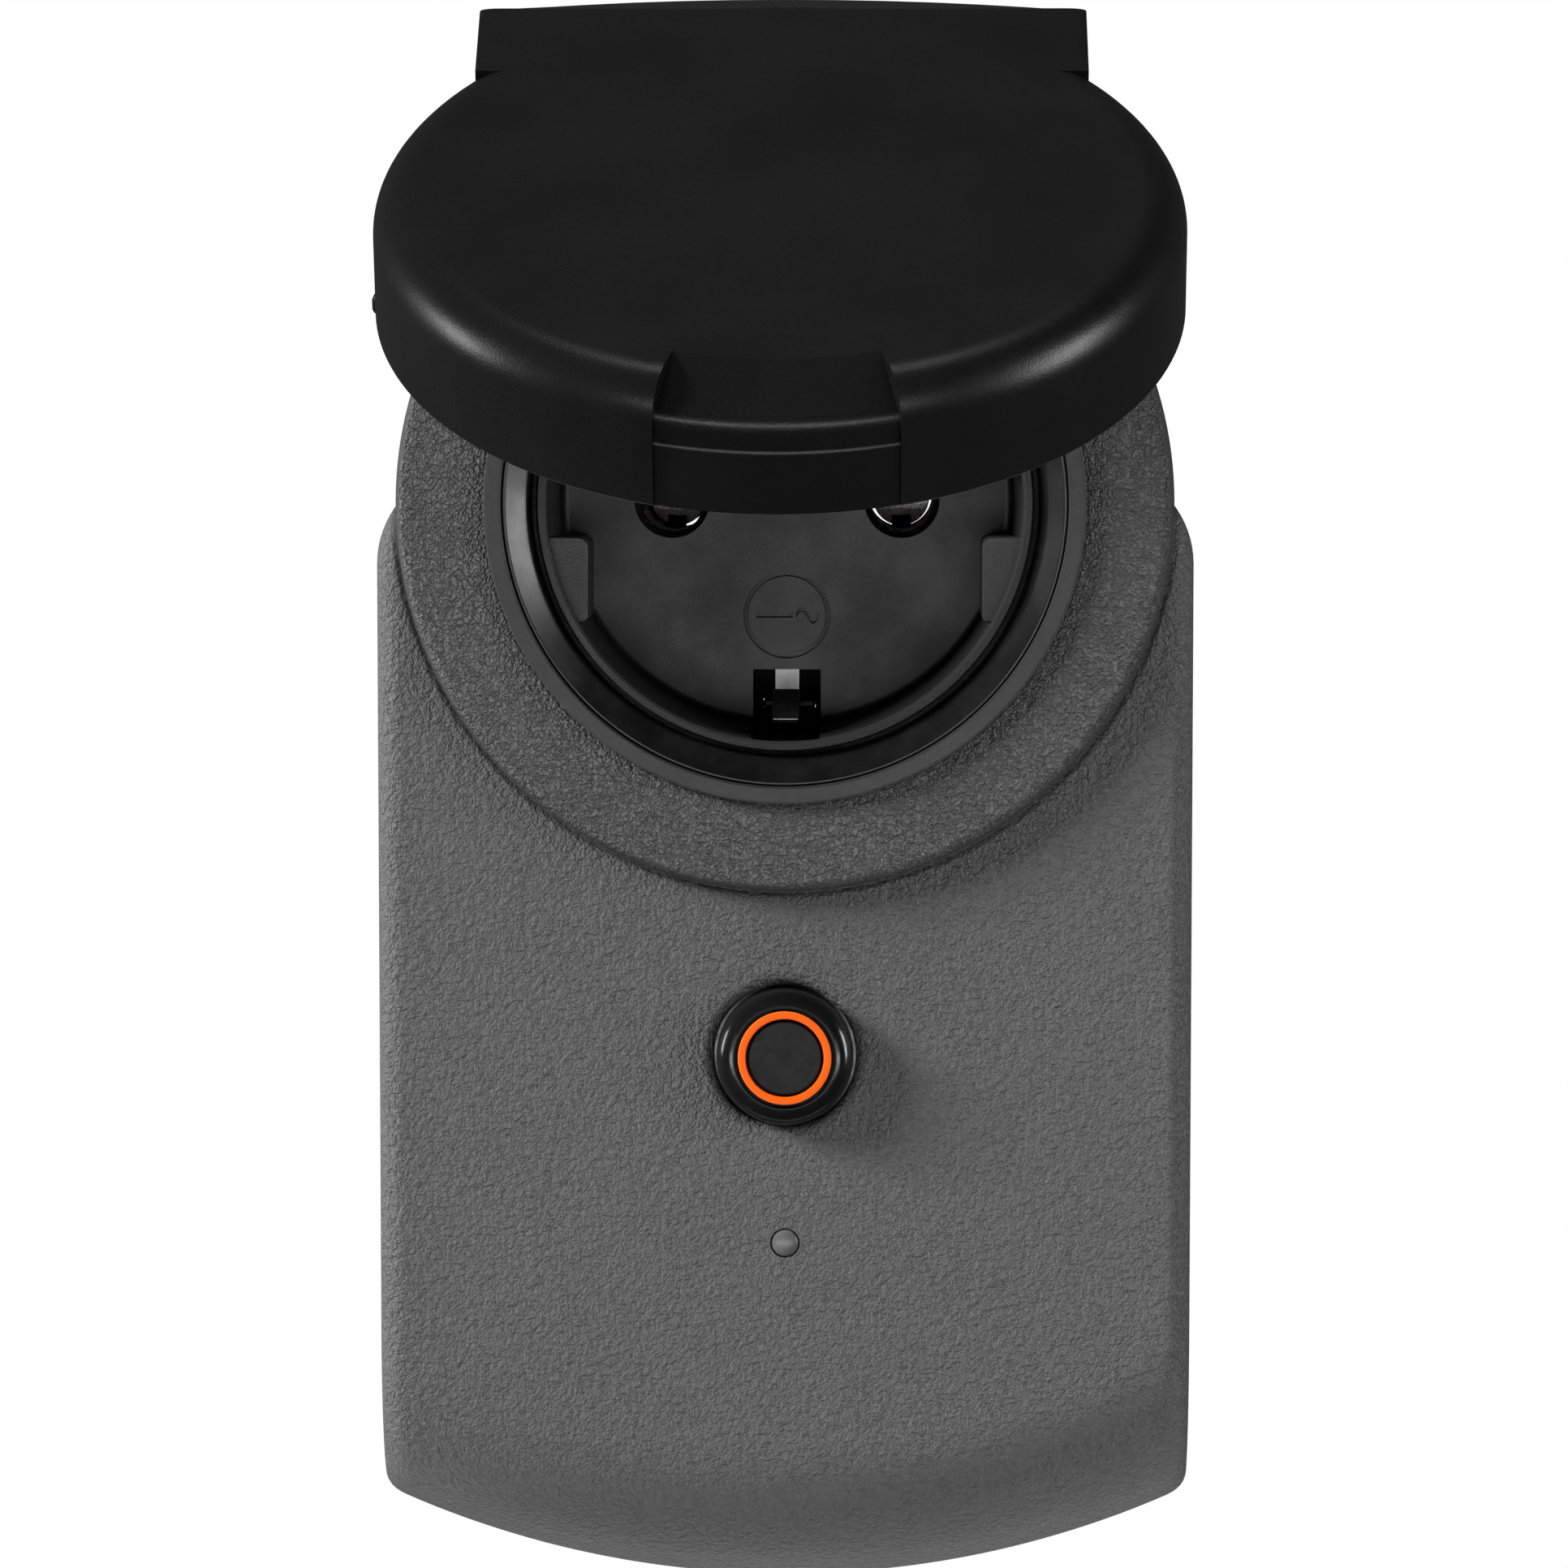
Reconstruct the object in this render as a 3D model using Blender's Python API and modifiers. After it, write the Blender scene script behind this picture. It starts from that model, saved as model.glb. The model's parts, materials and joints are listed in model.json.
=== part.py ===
"""Outdoor smart plug: a plug-through socket adapter with a hinged lid, a push button and its board.

The object hangs on a wall socket. Its front faces -Y, +Z is up, and the origin is the centre of the
plug's contact face. Everything is modelled lying on its back, in millimetres along x (right),
v (up the wall) and f (out of the wall), and the wall_frame empty stands it up.
"""

import math

import bmesh
import bpy

MM = 0.001
TURN = 2 * math.pi

# Levels along f, from the plug's contact face outwards
PLUG_REACH = 17.5
PIN_REACH = 19.0
PARTING = 42.0
FRONT = 62.0
COLLAR = 63.5
FLOOR = 45.2
GAP = 0.3

# Housing outline
WALL = 2.2
HEAD_R = 31.35
HALF_WIDTH = 33.15
SHOULDER_R = 8.0
SHOULDER_V = -5.0
BOTTOM_V = -88.5
BOTTOM_R = 78.4
CORNER_R = 2.6
SIDE_TAPER = 0.0085
TAPER_RUN = 74.0
FULL_INSET = 2.3
UPPER_SHARE = 0.28
SIDE_STOPS = (0.5, 0.8, 0.88, 0.95)
EDGE_R = 2.0
ROLL_R = 12.0
BACK_EDGE_R = 3.0
FRONT_INSETS = (0, 0.27, 1.0, 2.0, 4.2, 7.6, 12.0)
INNER_INSETS = (0, 0.6, 2.4, 5.4, 9.8)
POST_TOP = 60.5
LOW_POST_TOP = 60.0

# Collar, rim and socket
COLLAR_R = 31.5
RIM_R = 24.4
BORE_R = 22.95
SEAL_IN_R = 20.6
MOUTH_R = 19.3
FLOOR_R = 18.7
PIN_X = 9.5
PIN_R = 2.4
GUIDE_X = 16.0
GUIDE_V = (2.8, 9.7)

# Lid, drawn closed and then swung open
LID_R = 31.25
LID_DEPTH = 10.6
LID_EDGE_R = 3.65
LID_WALL = 1.8
LID_OPEN = 59.2
HINGE_V = 36.3
HINGE_F = COLLAR + 2.6
KNUCKLE_R = 4.14
EAR_R = 2.4
EAR_X = (6.7, 17.3)
TONGUE_HALF = 24.0
TAB_HALF = 9.2

# Controls
BUTTON_V = -44.9
BUTTON_R = 5.55
LIGHT_V = -60.1

# Inside
POSTS = ((-25.5, -14.0), (25.5, -14.0), (-25.5, -73.0), (25.5, -73.0))
BOARD_POSTS = ((-18.5, -54.0), (18.5, -54.0))
BOARD_BACK = 50.0
BOARD_FRONT = 51.6


def clear_scene():
    for obj in list(bpy.data.objects):
        bpy.data.objects.remove(obj)


def add_collection(name):
    collection = bpy.data.collections.new(name)
    bpy.context.scene.collection.children.link(collection)
    return collection


def add_empty(name, parent=None, place=(0, 0, 0), tilt=0.0):
    empty = bpy.data.objects.new(name, None)
    parts.objects.link(empty)
    empty.parent = parent
    empty.location = [value * MM for value in place]
    empty.rotation_euler.x = math.radians(tilt)
    return empty


def add_material(name, colour, roughness, metallic=0.0):
    material = bpy.data.materials.new(name)
    material.use_nodes = True
    shader = material.node_tree.nodes["Principled BSDF"]
    shader.inputs["Base Color"].default_value = (*colour, 1.0)
    shader.inputs["Roughness"].default_value = roughness
    shader.inputs["Metallic"].default_value = metallic
    material.diffuse_color = (*colour, 1.0)
    return material


def add_object(name, mesh, parent, place=(0, 0, 0)):
    obj = bpy.data.objects.new(name, mesh)
    parts.objects.link(obj)
    obj.parent = parent
    obj.location = [value * MM for value in place]
    return obj


def smooth(mesh, angle=32):
    mesh.shade_smooth()
    mesh.set_sharp_from_angle(angle=math.radians(angle))


def finish(obj, material):
    """Gives a finished part its material and leaves round faces smooth."""
    obj.data.materials.clear()
    obj.data.materials.append(material)
    smooth(obj.data)
    return obj


def helper(obj):
    """Moves a cutter, or a body that is joined to another, out of the parts."""
    parts.objects.unlink(obj)
    cutters.objects.link(obj)
    obj.hide_render = True
    obj.display_type = "WIRE"
    return obj


def boolean(obj, other, operation):
    step = obj.modifiers.new(f"{operation.lower()} {other.name}", "BOOLEAN")
    step.object = helper(other)
    step.operation = operation
    step.solver = "EXACT"


def cut(obj, *tools):
    for tool in tools:
        boolean(obj, tool, "DIFFERENCE")


def join(obj, *bodies):
    for body in bodies:
        boolean(obj, body, "UNION")


def arc(centre, radius, start, end, count):
    """Points of an arc between two angles in degrees, ends included."""
    points = []
    for step in range(count + 1):
        angle = math.radians(start + (end - start) * step / count)
        points.append((centre[0] + radius * math.cos(angle), centre[1] + radius * math.sin(angle)))
    return points


def turned(name, profile, parent, centre=(0, 0), steps=48, closed=True):
    """Turns a profile of (radius, f) points about the f axis. It runs down its outer side."""
    count = len(profile)
    mesh = bpy.data.meshes.new(name)
    edges = [(step, step + 1) for step in range(count - 1)]
    if closed:
        edges.append((count - 1, 0))
    mesh.from_pydata([(r * MM, 0, f * MM) for r, f in profile], edges, [])
    obj = add_object(name, mesh, parent, (*centre, 0))
    screw = obj.modifiers.new("turn", "SCREW")
    screw.angle = TURN
    screw.steps = steps
    screw.render_steps = steps
    screw.use_merge_vertices = True
    screw.merge_threshold = 0.000001
    screw.use_smooth_shade = True
    return bake(obj)


def rod(name, radius, low, high, parent, centre=(0, 0), steps=20, edge=0.0):
    """A round bar along f between two levels, with its end edges rounded where edge is set."""
    profile = [(0, high)]
    if edge:
        profile += arc((radius - edge, high - edge), edge, 90, 0, 3)
        profile += arc((radius - edge, low + edge), edge, 0, -90, 3)
    else:
        profile += [(radius, high), (radius, low)]
    profile.append((0, low))
    return turned(name, profile, parent, centre, steps, closed=False)


def block(name, low, high, parent, edge=0.0):
    """A box between two corners (x, v, f), with its edges rounded where edge is set."""
    mesh = bpy.data.meshes.new(name)
    shape = bmesh.new()
    bmesh.ops.create_cube(shape, size=1)
    middle = [(a + b) / 2 for a, b in zip(low, high)]
    for vert in shape.verts:
        vert.co = [value * (b - a) * MM for value, a, b in zip(vert.co, low, high)]
    shape.to_mesh(mesh)
    shape.free()
    obj = add_object(name, mesh, parent, middle)
    if edge:
        bevel = obj.modifiers.new("edges", "BEVEL")
        bevel.width = edge * MM
        bevel.segments = 2
    return obj


def bake(obj):
    """Swaps a curve or a modified mesh for a plain welded mesh at the same place."""
    graph = bpy.context.evaluated_depsgraph_get()
    mesh = bpy.data.meshes.new_from_object(obj.evaluated_get(graph))
    shape = bmesh.new()
    shape.from_mesh(mesh)
    bmesh.ops.remove_doubles(shape, verts=shape.verts, dist=0.000001)
    shape.to_mesh(mesh)
    shape.free()
    name, parent, place, turn = obj.name, obj.parent, obj.location.copy(), obj.rotation_euler.copy()
    bpy.data.objects.remove(obj)
    mesh.name = name
    solid = add_object(name, mesh, parent)
    solid.name = name
    solid.location = place
    solid.rotation_euler = turn
    return solid


def curve_object(name, points, parent, cyclic, flat):
    curve = bpy.data.curves.new(name, "CURVE")
    curve.dimensions = "2D" if flat else "3D"
    spline = curve.splines.new("POLY")
    spline.points.add(len(points) - 1)
    for spot, point in zip(spline.points, points):
        spot.co = (*[value * MM for value in point], 1)
    spline.use_cyclic_u = cyclic
    obj = bpy.data.objects.new(name, curve)
    parts.objects.link(obj)
    obj.parent = parent
    return obj


def plate(name, outline, low, high, parent):
    """A flat plate with an outline of (x, v) points, between two levels along f."""
    obj = curve_object(name, [(x, v, 0) for x, v in outline], parent, True, True)
    obj.data.fill_mode = "BOTH"
    obj.data.extrude = (high - low) / 2 * MM
    obj.location.z = (low + high) / 2 * MM
    return bake(obj)


def side_plate(name, outline, low, high, parent):
    """A plate with an outline of (f, v) points, between two places along x."""
    obj = plate(name, outline, -(high - low) / 2, (high - low) / 2, parent)
    obj.rotation_euler.y = math.radians(-90)
    obj.location = ((low + high) / 2 * MM, 0, 0)
    return obj


def wire(name, stops, radius, parent, material):
    """A lead along a smooth curve through its stops (x, v, f)."""
    obj = curve_object(name, smooth_route(stops, 3), parent, False, False)
    obj.data.bevel_depth = radius * MM
    obj.data.bevel_resolution = 2
    obj.data.use_fill_caps = True
    return finish(bake(obj), material)


def smooth_route(stops, count):
    """Catmull-Rom points through the stops, count to each span."""
    ends = [stops[0], *stops, stops[-1]]
    route = []
    for a, b, c, d in zip(ends, ends[1:], ends[2:], ends[3:]):
        for step in range(count):
            t = step / count
            route.append(
                tuple(
                    q + 0.5 * t * (r - p + t * (2 * p - 5 * q + 4 * r - s + t * (3 * (q - r) + s - p)))
                    for p, q, r, s in zip(a, b, c, d)
                )
            )
    route.append(tuple(stops[-1]))
    return route


def loft(name, rings, parent, closed=False):
    """A skin over rings with the same number of (x, v, f) points, capped at both ends or closed."""
    mesh = bpy.data.meshes.new(name)
    shape = bmesh.new()
    rows = [[shape.verts.new([value * MM for value in point]) for point in ring] for ring in rings]
    pairs = list(zip(rows, rows[1:]))
    if closed:
        pairs.append((rows[-1], rows[0]))
    for low, high in pairs:
        for side in range(len(low)):
            after = (side + 1) % len(low)
            shape.faces.new((low[side], low[after], high[after], high[side]))
    if not closed:
        shape.faces.new(rows[0])
        shape.faces.new(rows[-1])
    bmesh.ops.recalc_face_normals(shape, faces=shape.faces)
    shape.to_mesh(mesh)
    shape.free()
    return add_object(name, mesh, parent)


def crossing(radius_a, centre_b, radius_b):
    """Where a circle about the origin meets another one, on its right and upper side."""
    apart = math.hypot(*centre_b)
    along = (radius_a**2 - radius_b**2 + apart**2) / (2 * apart)
    across = math.sqrt(radius_a**2 - along**2)
    unit = (centre_b[0] / apart, centre_b[1] / apart)
    return unit[0] * along - unit[1] * across, unit[1] * along + unit[0] * across


def taper_at(v):
    """The housing's sides draw in a little towards the bottom."""
    return 1 - SIDE_TAPER * max(0, (SHOULDER_V - v) / TAPER_RUN)


def half_outline(inset):
    """The right half of the housing's outline, from the top down to the bottom's middle."""
    upper = min(inset, FULL_INSET) + max(inset - FULL_INSET, 0) * UPPER_SHARE
    head = HEAD_R - upper
    shoulder = SHOULDER_R - upper
    shoulder_at = (HALF_WIDTH - SHOULDER_R, SHOULDER_V)
    meet = crossing(head, shoulder_at, shoulder)
    meet_angle = math.degrees(math.atan2(meet[1], meet[0]))
    shoulder_angle = math.degrees(math.atan2(meet[1] - shoulder_at[1], meet[0] - shoulder_at[0]))
    points = arc((0, 0), head, 90, meet_angle, 9)
    points += arc(shoulder_at, shoulder, shoulder_angle, 0, 3)[1:]
    corner = max(CORNER_R - inset, 0.2)
    bottom = BOTTOM_R - inset
    centre_v = BOTTOM_V + BOTTOM_R
    corner_x = HALF_WIDTH - inset - corner
    corner_v = centre_v - math.sqrt((bottom - corner) ** 2 - corner_x**2)
    for part in SIDE_STOPS:
        points.append((HALF_WIDTH - inset, SHOULDER_V + (corner_v - SHOULDER_V) * part))
    side_angle = math.degrees(math.atan2(corner_v - centre_v, corner_x))
    points += arc((corner_x, corner_v), corner, 0, side_angle, 2)
    points += arc((0, centre_v), bottom, side_angle, -90, 6)[1:]
    return [(x * taper_at(v), v) for x, v in points]


def outline(inset):
    half = half_outline(inset)
    return half + [(-x, v) for x, v in half[-2:0:-1]]


def housing_ring(level, inset):
    return [(x, v, level) for x, v in outline(inset)]


def fallen(distance, radius):
    """How far a rounded edge has fallen at a distance in from its wall."""
    short = radius - min(max(distance, 0), radius)
    return radius - math.sqrt(radius**2 - short**2)


def rolled_rings(base, level, side_edge, bottom_edge, insets):
    """Rings over a front edge that is rounded a little at the sides and far more at the bottom."""
    rings = []
    for inset in insets:
        ring = []
        for x, v in outline(base + inset):
            aside = inset
            if v < SHOULDER_V:
                aside = HALF_WIDTH * taper_at(v) - abs(x) - base
            below = BOTTOM_R - base - math.hypot(x, v - BOTTOM_V - BOTTOM_R)
            ring.append((x, v, level - fallen(aside, side_edge) - fallen(below, bottom_edge)))
        rings.append(ring)
    return rings


def build_front_housing(parent, material):
    shell = loft(
        "front_housing",
        [housing_ring(PARTING + GAP / 2, 0)] + rolled_rings(0, FRONT, EDGE_R, ROLL_R, FRONT_INSETS),
        parent,
    )
    cavity = loft(
        "front_cavity",
        [housing_ring(PARTING - 1, WALL)] + rolled_rings(WALL, FRONT - 2.5, 0.6, ROLL_R - WALL, INNER_INSETS),
        parent,
    )
    cut(shell, cavity, rod("collar_room", 27.0, 50, 70, parent, steps=32))
    collar = [(COLLAR_R, COLLAR - 0.8)]
    collar += [(COLLAR_R, 58.5), (26.0, 58.5), (25.0, 57.5), (25.0, 47.0), (BORE_R, 47.0)]
    collar += [(BORE_R, COLLAR + 0.3), (BORE_R + 0.3, COLLAR + 0.6), (RIM_R - 0.3, COLLAR + 0.6)]
    collar += [(RIM_R, COLLAR + 0.3), (RIM_R, COLLAR), (COLLAR_R - 0.8, COLLAR)]
    collar += [(COLLAR_R - 0.23, COLLAR - 0.23)]
    join(shell, turned("collar", collar, parent))
    for side in (-1, 1):
        join(shell, hinge_ear(side, parent))
    for number, place in enumerate(POSTS, 1):
        top = POST_TOP if place[1] > -50 else LOW_POST_TOP
        join(shell, rod(f"post_{number}", 2.8, 36.3, top, parent, place, 12))
    for number, place in enumerate(BOARD_POSTS, 1):
        join(shell, rod(f"board_post_{number}", 2.6, BOARD_FRONT + GAP, 60.5, parent, place, 12))
        cut(shell, rod(f"board_post_bore_{number}", 1.4, 50, 58, parent, place, 10))
    for number, place in enumerate(POSTS, 1):
        cut(shell, rod(f"post_bore_{number}", 1.65, 30, 50.5, parent, place, 10))
    button_room = [(6.6, 64), (6.6, FRONT), (5.9, FRONT - 0.7), (5.9, 57), (0, 57), (0, 64)]
    cut(shell, turned("button_bore", button_room, parent, (0, BUTTON_V), 28, False))
    cut(shell, rod("light_bore", 1.5, 57, 64, parent, (0, LIGHT_V), 16))
    cut(shell, rod("pin_bore_ears", 1.5, -30, 30, hinge_axis_frame(parent), steps=12))
    return finish(shell, material)


def hinge_axis_frame(parent):
    """An empty on the hinge's axis with its f axis along x, for what is round about the pin."""
    frame = add_empty("hinge_axis", parent, (0, HINGE_V, HINGE_F))
    frame.rotation_euler.y = math.radians(90)
    return frame


def hinge_ear(side, parent):
    """One of the two ears on the collar's top that hold the hinge pin. Its outline is (f, v)."""
    edge = [(HINGE_F + a, HINGE_V + b) for a, b in arc((0, 0), EAR_R, -90, 180, 8)]
    edge += [(HINGE_F - EAR_R, 33.7), (58.2, 31.6), (58.2, 24.8), (COLLAR - GAP, 24.8)]
    edge += [(COLLAR - GAP, 31.9), (HINGE_F, 31.9)]
    near, far = EAR_X
    low, high = (near, far) if side > 0 else (-far, -near)
    return side_plate(f"ear_{'left' if side < 0 else 'right'}", edge, low, high, parent)


def build_rear_housing(parent, material):
    back = [housing_ring(PARTING - GAP / 2, 0)]
    for step in range(4):
        turn = math.pi / 2 * step / 3
        drop = BACK_EDGE_R * (1 - math.sin(turn))
        back.append(housing_ring(PLUG_REACH + drop, BACK_EDGE_R * (1 - math.cos(turn))))
    shell = loft("rear_housing", back, parent)
    floor = PLUG_REACH + WALL
    cavity = loft(
        "rear_cavity",
        [housing_ring(PARTING + 1, WALL), housing_ring(floor + 1.5, WALL), housing_ring(floor, WALL + 1.5)],
        parent,
    )
    cut(shell, cavity)
    for number, place in enumerate(POSTS, 1):
        join(shell, rod(f"well_{number}", 4.0, PLUG_REACH + 1, 36.0, parent, place, 14))
    for number, place in enumerate(POSTS, 1):
        cut(shell, rod(f"head_bore_{number}", 3.0, 10, 33.5, parent, place, 14))
        cut(shell, rod(f"shank_bore_{number}", 1.75, 32, 40, parent, place, 10))
    cut(shell, rod("plug_bore", 18.6, 10, 25, parent, steps=48))
    return finish(shell, material)


def build_housing_seal(parent, material):
    levels = (PARTING - 1.5, PARTING + 1.5)
    rings = [housing_ring(levels[0], WALL + 0.35), housing_ring(levels[1], WALL + 0.35)]
    rings += [housing_ring(levels[1], WALL + 1.5), housing_ring(levels[0], WALL + 1.5)]
    return finish(loft("housing_seal", rings, parent, closed=True), material)


def build_screws(parent, material):
    for number, place in enumerate(POSTS, 1):
        profile = [(0, 49.5), (1.25, 48.2), (1.25, 33.2), (2.6, 33.2), (2.6, 31.8), (1.9, 30.9), (0, 30.9)]
        screw = turned(f"housing_screw_{number}", profile, parent, place, 12, False)
        cross = block(f"drive_{number}_a", (-1.5, -0.3, 30), (1.5, 0.3, 32), parent)
        other = block(f"drive_{number}_b", (-0.3, -1.5, 30), (0.3, 1.5, 32), parent)
        for slot in (cross, other):
            slot.location.x = place[0] * MM
            slot.location.y = place[1] * MM
        cut(screw, cross, other)
        finish(screw, material)


def build_socket_insert(parent, material):
    """The round recess that takes a plug: wall, floor, guide blocks, pin holes and earth notches."""
    profile = [(0, FLOOR), (FLOOR_R, FLOOR), (MOUTH_R, 62.2), (19.5, 62.6), (19.8, 62.5), (20.0, 61.9)]
    profile += [(20.0, 57.1), (22.6, 57.1), (22.6, 55.8), (20.2, 55.8), (20.2, 46.6), (24.2, 46.6)]
    profile += [(24.2, 43.2), (0, 43.2)]
    insert = turned("socket_insert", profile, parent, closed=False)
    for side in (0, 180):
        for tilt in (1, -1):
            edge = [(GUIDE_X, GUIDE_V[0]), *arc((0, 0), 19.6, 8.2, 29.7, 3), (GUIDE_X, GUIDE_V[1])]
            turn = -1 if side else 1
            edge = [(turn * x, tilt * v) for x, v in edge]
            join(insert, plate(f"guide_{side}_{tilt}", edge, FLOOR - 1, 61.2, parent))
    for side in (-1, 1):
        low, high = sorted((side * 14.0, side * 19.45))
        cut(insert, block(f"earth_notch_{side}", (-2.8, low, 42), (2.8, high, 61.8), parent))
        cut(insert, rod(f"pin_hole_{side}", 2.7, 42, 47, parent, (side * PIN_X, 0), 20))
    return finish(insert, material)


def build_socket_seal(parent, material):
    profile = [(22.6, 63.9), (22.65, 57.5), (SEAL_IN_R, 57.5), (SEAL_IN_R, 61.9)]
    return finish(turned("socket_seal", profile, parent), material)


def build_contacts(parent, material):
    for name, side in (("contact_line", -1), ("contact_neutral", 1)):
        profile = [(3.3, 42.8), (3.3, 24.9), (2.65, 24.9), (2.65, 41.6), (2.9, 42.8)]
        sleeve = turned(name, profile, parent, (side * PIN_X, 0), 16)
        slit = block(f"slit_{side}", (side * PIN_X - 0.4, 0, 28), (side * PIN_X + 0.4, 6, 44), parent)
        cut(sleeve, slit)
        finish(sleeve, material)


def ribbon(line, thickness):
    """The outline of a strip of even thickness along a line of points."""
    left, right = [], []
    for index, (a, b) in enumerate(line):
        before = line[max(index - 1, 0)]
        after = line[min(index + 1, len(line) - 1)]
        run = (after[0] - before[0], after[1] - before[1])
        size = math.hypot(*run)
        aside = (-run[1] / size * thickness / 2, run[0] / size * thickness / 2)
        left.append((a + aside[0], b + aside[1]))
        right.append((a - aside[0], b - aside[1]))
    return left + right[::-1]


def build_earth_bow(parent, material):
    """One sprung strip: it runs behind the floor and comes up through both notches."""
    half = [(57.2, -17.9), (56.4, -16.8), (54.6, -15.7), (52.5, -15.9), (47, -17.0), (43, -17.3)]
    half += [(41.9, -16.9), (41.6, -15.8)]
    line = half + [(f, -v) for f, v in reversed(half)]
    return finish(side_plate("earth_bow", ribbon(line, 0.7), -1.1, 1.1, parent), material)


def build_plug(parent, plastic, metal):
    """The plug at the back: its body, two pins and two earth strips."""
    profile = [(0, 22.2), (20.0, 22.2), (20.0, 20.0), (18.2, 20.0), (18.2, 1.0), (17.2, 0), (0, 0)]
    body = turned("plug_insert", profile, parent, closed=False)
    for side in (-1, 1):
        for tilt in (-1, 1):
            low_x, high_x = sorted((side * 15.5, side * 22))
            low_v, high_v = sorted((tilt * 2.5, tilt * 10.4))
            groove = block(f"guide_way_{side}_{tilt}", (low_x, low_v, -1), (high_x, high_v, 17.2), parent)
            cut(body, groove)
        low_v, high_v = sorted((side * 16.9, side * 22))
        cut(body, block(f"strip_way_{side}", (-2.7, low_v, -1), (2.7, high_v, 24), parent))
        cut(body, rod(f"pin_way_{side}", PIN_R + 0.4, -2, 24, parent, (side * PIN_X, 0), 16))
    finish(body, plastic)
    for name, side in (("plug_pin_line", -1), ("plug_pin_neutral", 1)):
        tip = [(PIN_R, 22.6), *arc((PIN_R - 1.4, 1.4 - PIN_REACH), 1.4, 0, -90, 3)]
        pin = turned(name, [(0, 22.6), *tip, (0, -PIN_REACH)], parent, (side * PIN_X, 0), 20, False)
        finish(pin, metal)
    for name, side in (("earth_strip_upper", 1), ("earth_strip_lower", -1)):
        low_v, high_v = sorted((side * 17.2, side * 17.95))
        strip = block(name, (-2.2, low_v, 1.2), (2.2, high_v, 23.3), parent, 0.2)
        finish(strip, metal)


def build_board(parent, paints):
    """The board behind the button, and what stands on it."""
    board = block("main_board", (-22, -79.5, BOARD_BACK), (22, -26.6, BOARD_FRONT), parent)
    for number, place in enumerate(BOARD_POSTS, 1):
        cut(board, rod(f"board_hole_{number}", 1.4, 48, 54, parent, place, 16))
    finish(board, paints["board"])
    back, front = BOARD_BACK - GAP, BOARD_FRONT + GAP
    blocks = (
        ("power_relay", (-20, -47, 34.5), (-3, -32, back), "relay"),
        ("film_capacitor", (1, -41, 39), (19, -32, back), "film"),
        ("transformer", (-15, -66.5, 37), (-1, -50, back), "coil"),
        ("radio_module", (-9, -79, front), (9, -66, front + 2.5), "shield"),
        ("status_diode", (-1.6, LIGHT_V - 0.8, front), (1.6, LIGHT_V + 0.8, front + 1.1), "lens"),
        ("choke", (14.4, -65.5, 41), (20.4, -58.5, back), "coil"),
    )
    for name, low, high, paint in blocks:
        finish(block(name, low, high, parent, 0.4), paints[paint])
    round_parts = (
        ("smoothing_capacitor", 5.0, 36.5, (8.5, -50.5), "film"),
        ("bulk_capacitor", 4.0, 39.0, (7.0, -62.5), "film"),
    )
    for name, radius, low, place, paint in round_parts:
        finish(rod(name, radius, low, back, parent, place, 16, 0.6), paints[paint])
    varistor = side_plate("varistor", arc((44.2, -73.5), 5.0, 0, 345, 23), 10.0, 13.5, parent)
    finish(varistor, paints["varistor"])
    fuse = side_plate("fuse", arc((46.6, -73.5), 2.6, 0, 337.5, 15), -18, 2, parent)
    finish(fuse, paints["fuse"])
    for number, place in enumerate(BOARD_POSTS, 1):
        profile = [(0, 57), (0.95, 56), (0.95, back), (2.0, back), (2.0, back - 1.4), (0, back - 1.4)]
        finish(turned(f"board_screw_{number}", profile, parent, place, 16, False), paints["steel"])
    switch = block("push_switch", (-3, BUTTON_V - 3, front), (3, BUTTON_V + 3, 55.2), parent, 0.3)
    cut(switch, rod("switch_bore", 1.9, front + 0.5, 58, parent, (0, BUTTON_V), 20))
    finish(switch, paints["shield"])


def build_button(parent, paints):
    """The button's cap with its ring, the switch plunger behind it and the rubber ring around it."""
    travel = add_empty("button_travel", parent, (0, BUTTON_V, 0))
    edge = 1.4
    profile = [(0, 64.2), (2.8, 64.2), (2.8, 62.9), (4.17, 62.9), (4.17, 64.3)]
    profile += arc((BUTTON_R - edge, 64.3 - edge), edge, 90, 0, 3)[1:]
    profile += [(BUTTON_R, 59.1), (6.8, 59.1), (6.8, 58.0), (1.5, 58.0), (1.5, 56.5), (0, 56.5)]
    finish(turned("button_cap", profile, travel, steps=28, closed=False), paints["gloss"])
    ring = [(3.87, 64.35), (3.87, 63.2), (3.1, 63.2), (3.1, 64.35)]
    finish(turned("button_ring", ring, travel, steps=28), paints["ring"])
    finish(rod("switch_plunger", 1.55, 53.9, 56.2, travel, steps=14), paints["gloss"])
    rubber = [(9.2, 59.2), (9.2, 57.3), (7.2, 57.3), (7.2, 59.2)]
    finish(turned("button_seal", rubber, parent, (0, BUTTON_V), 24), paints["rubber"])


def build_light(parent, material):
    profile = [(0, 62.15), (0.8, 62.1), (1.15, 61.9), (1.15, 59.2), (2.2, 59.2), (2.2, 58.0)]
    profile += [(1.0, 58.0), (0.9, 53.6), (0, 53.6)]
    finish(turned("light_pipe", profile, parent, (0, LIGHT_V), 16, False), material)


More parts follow.
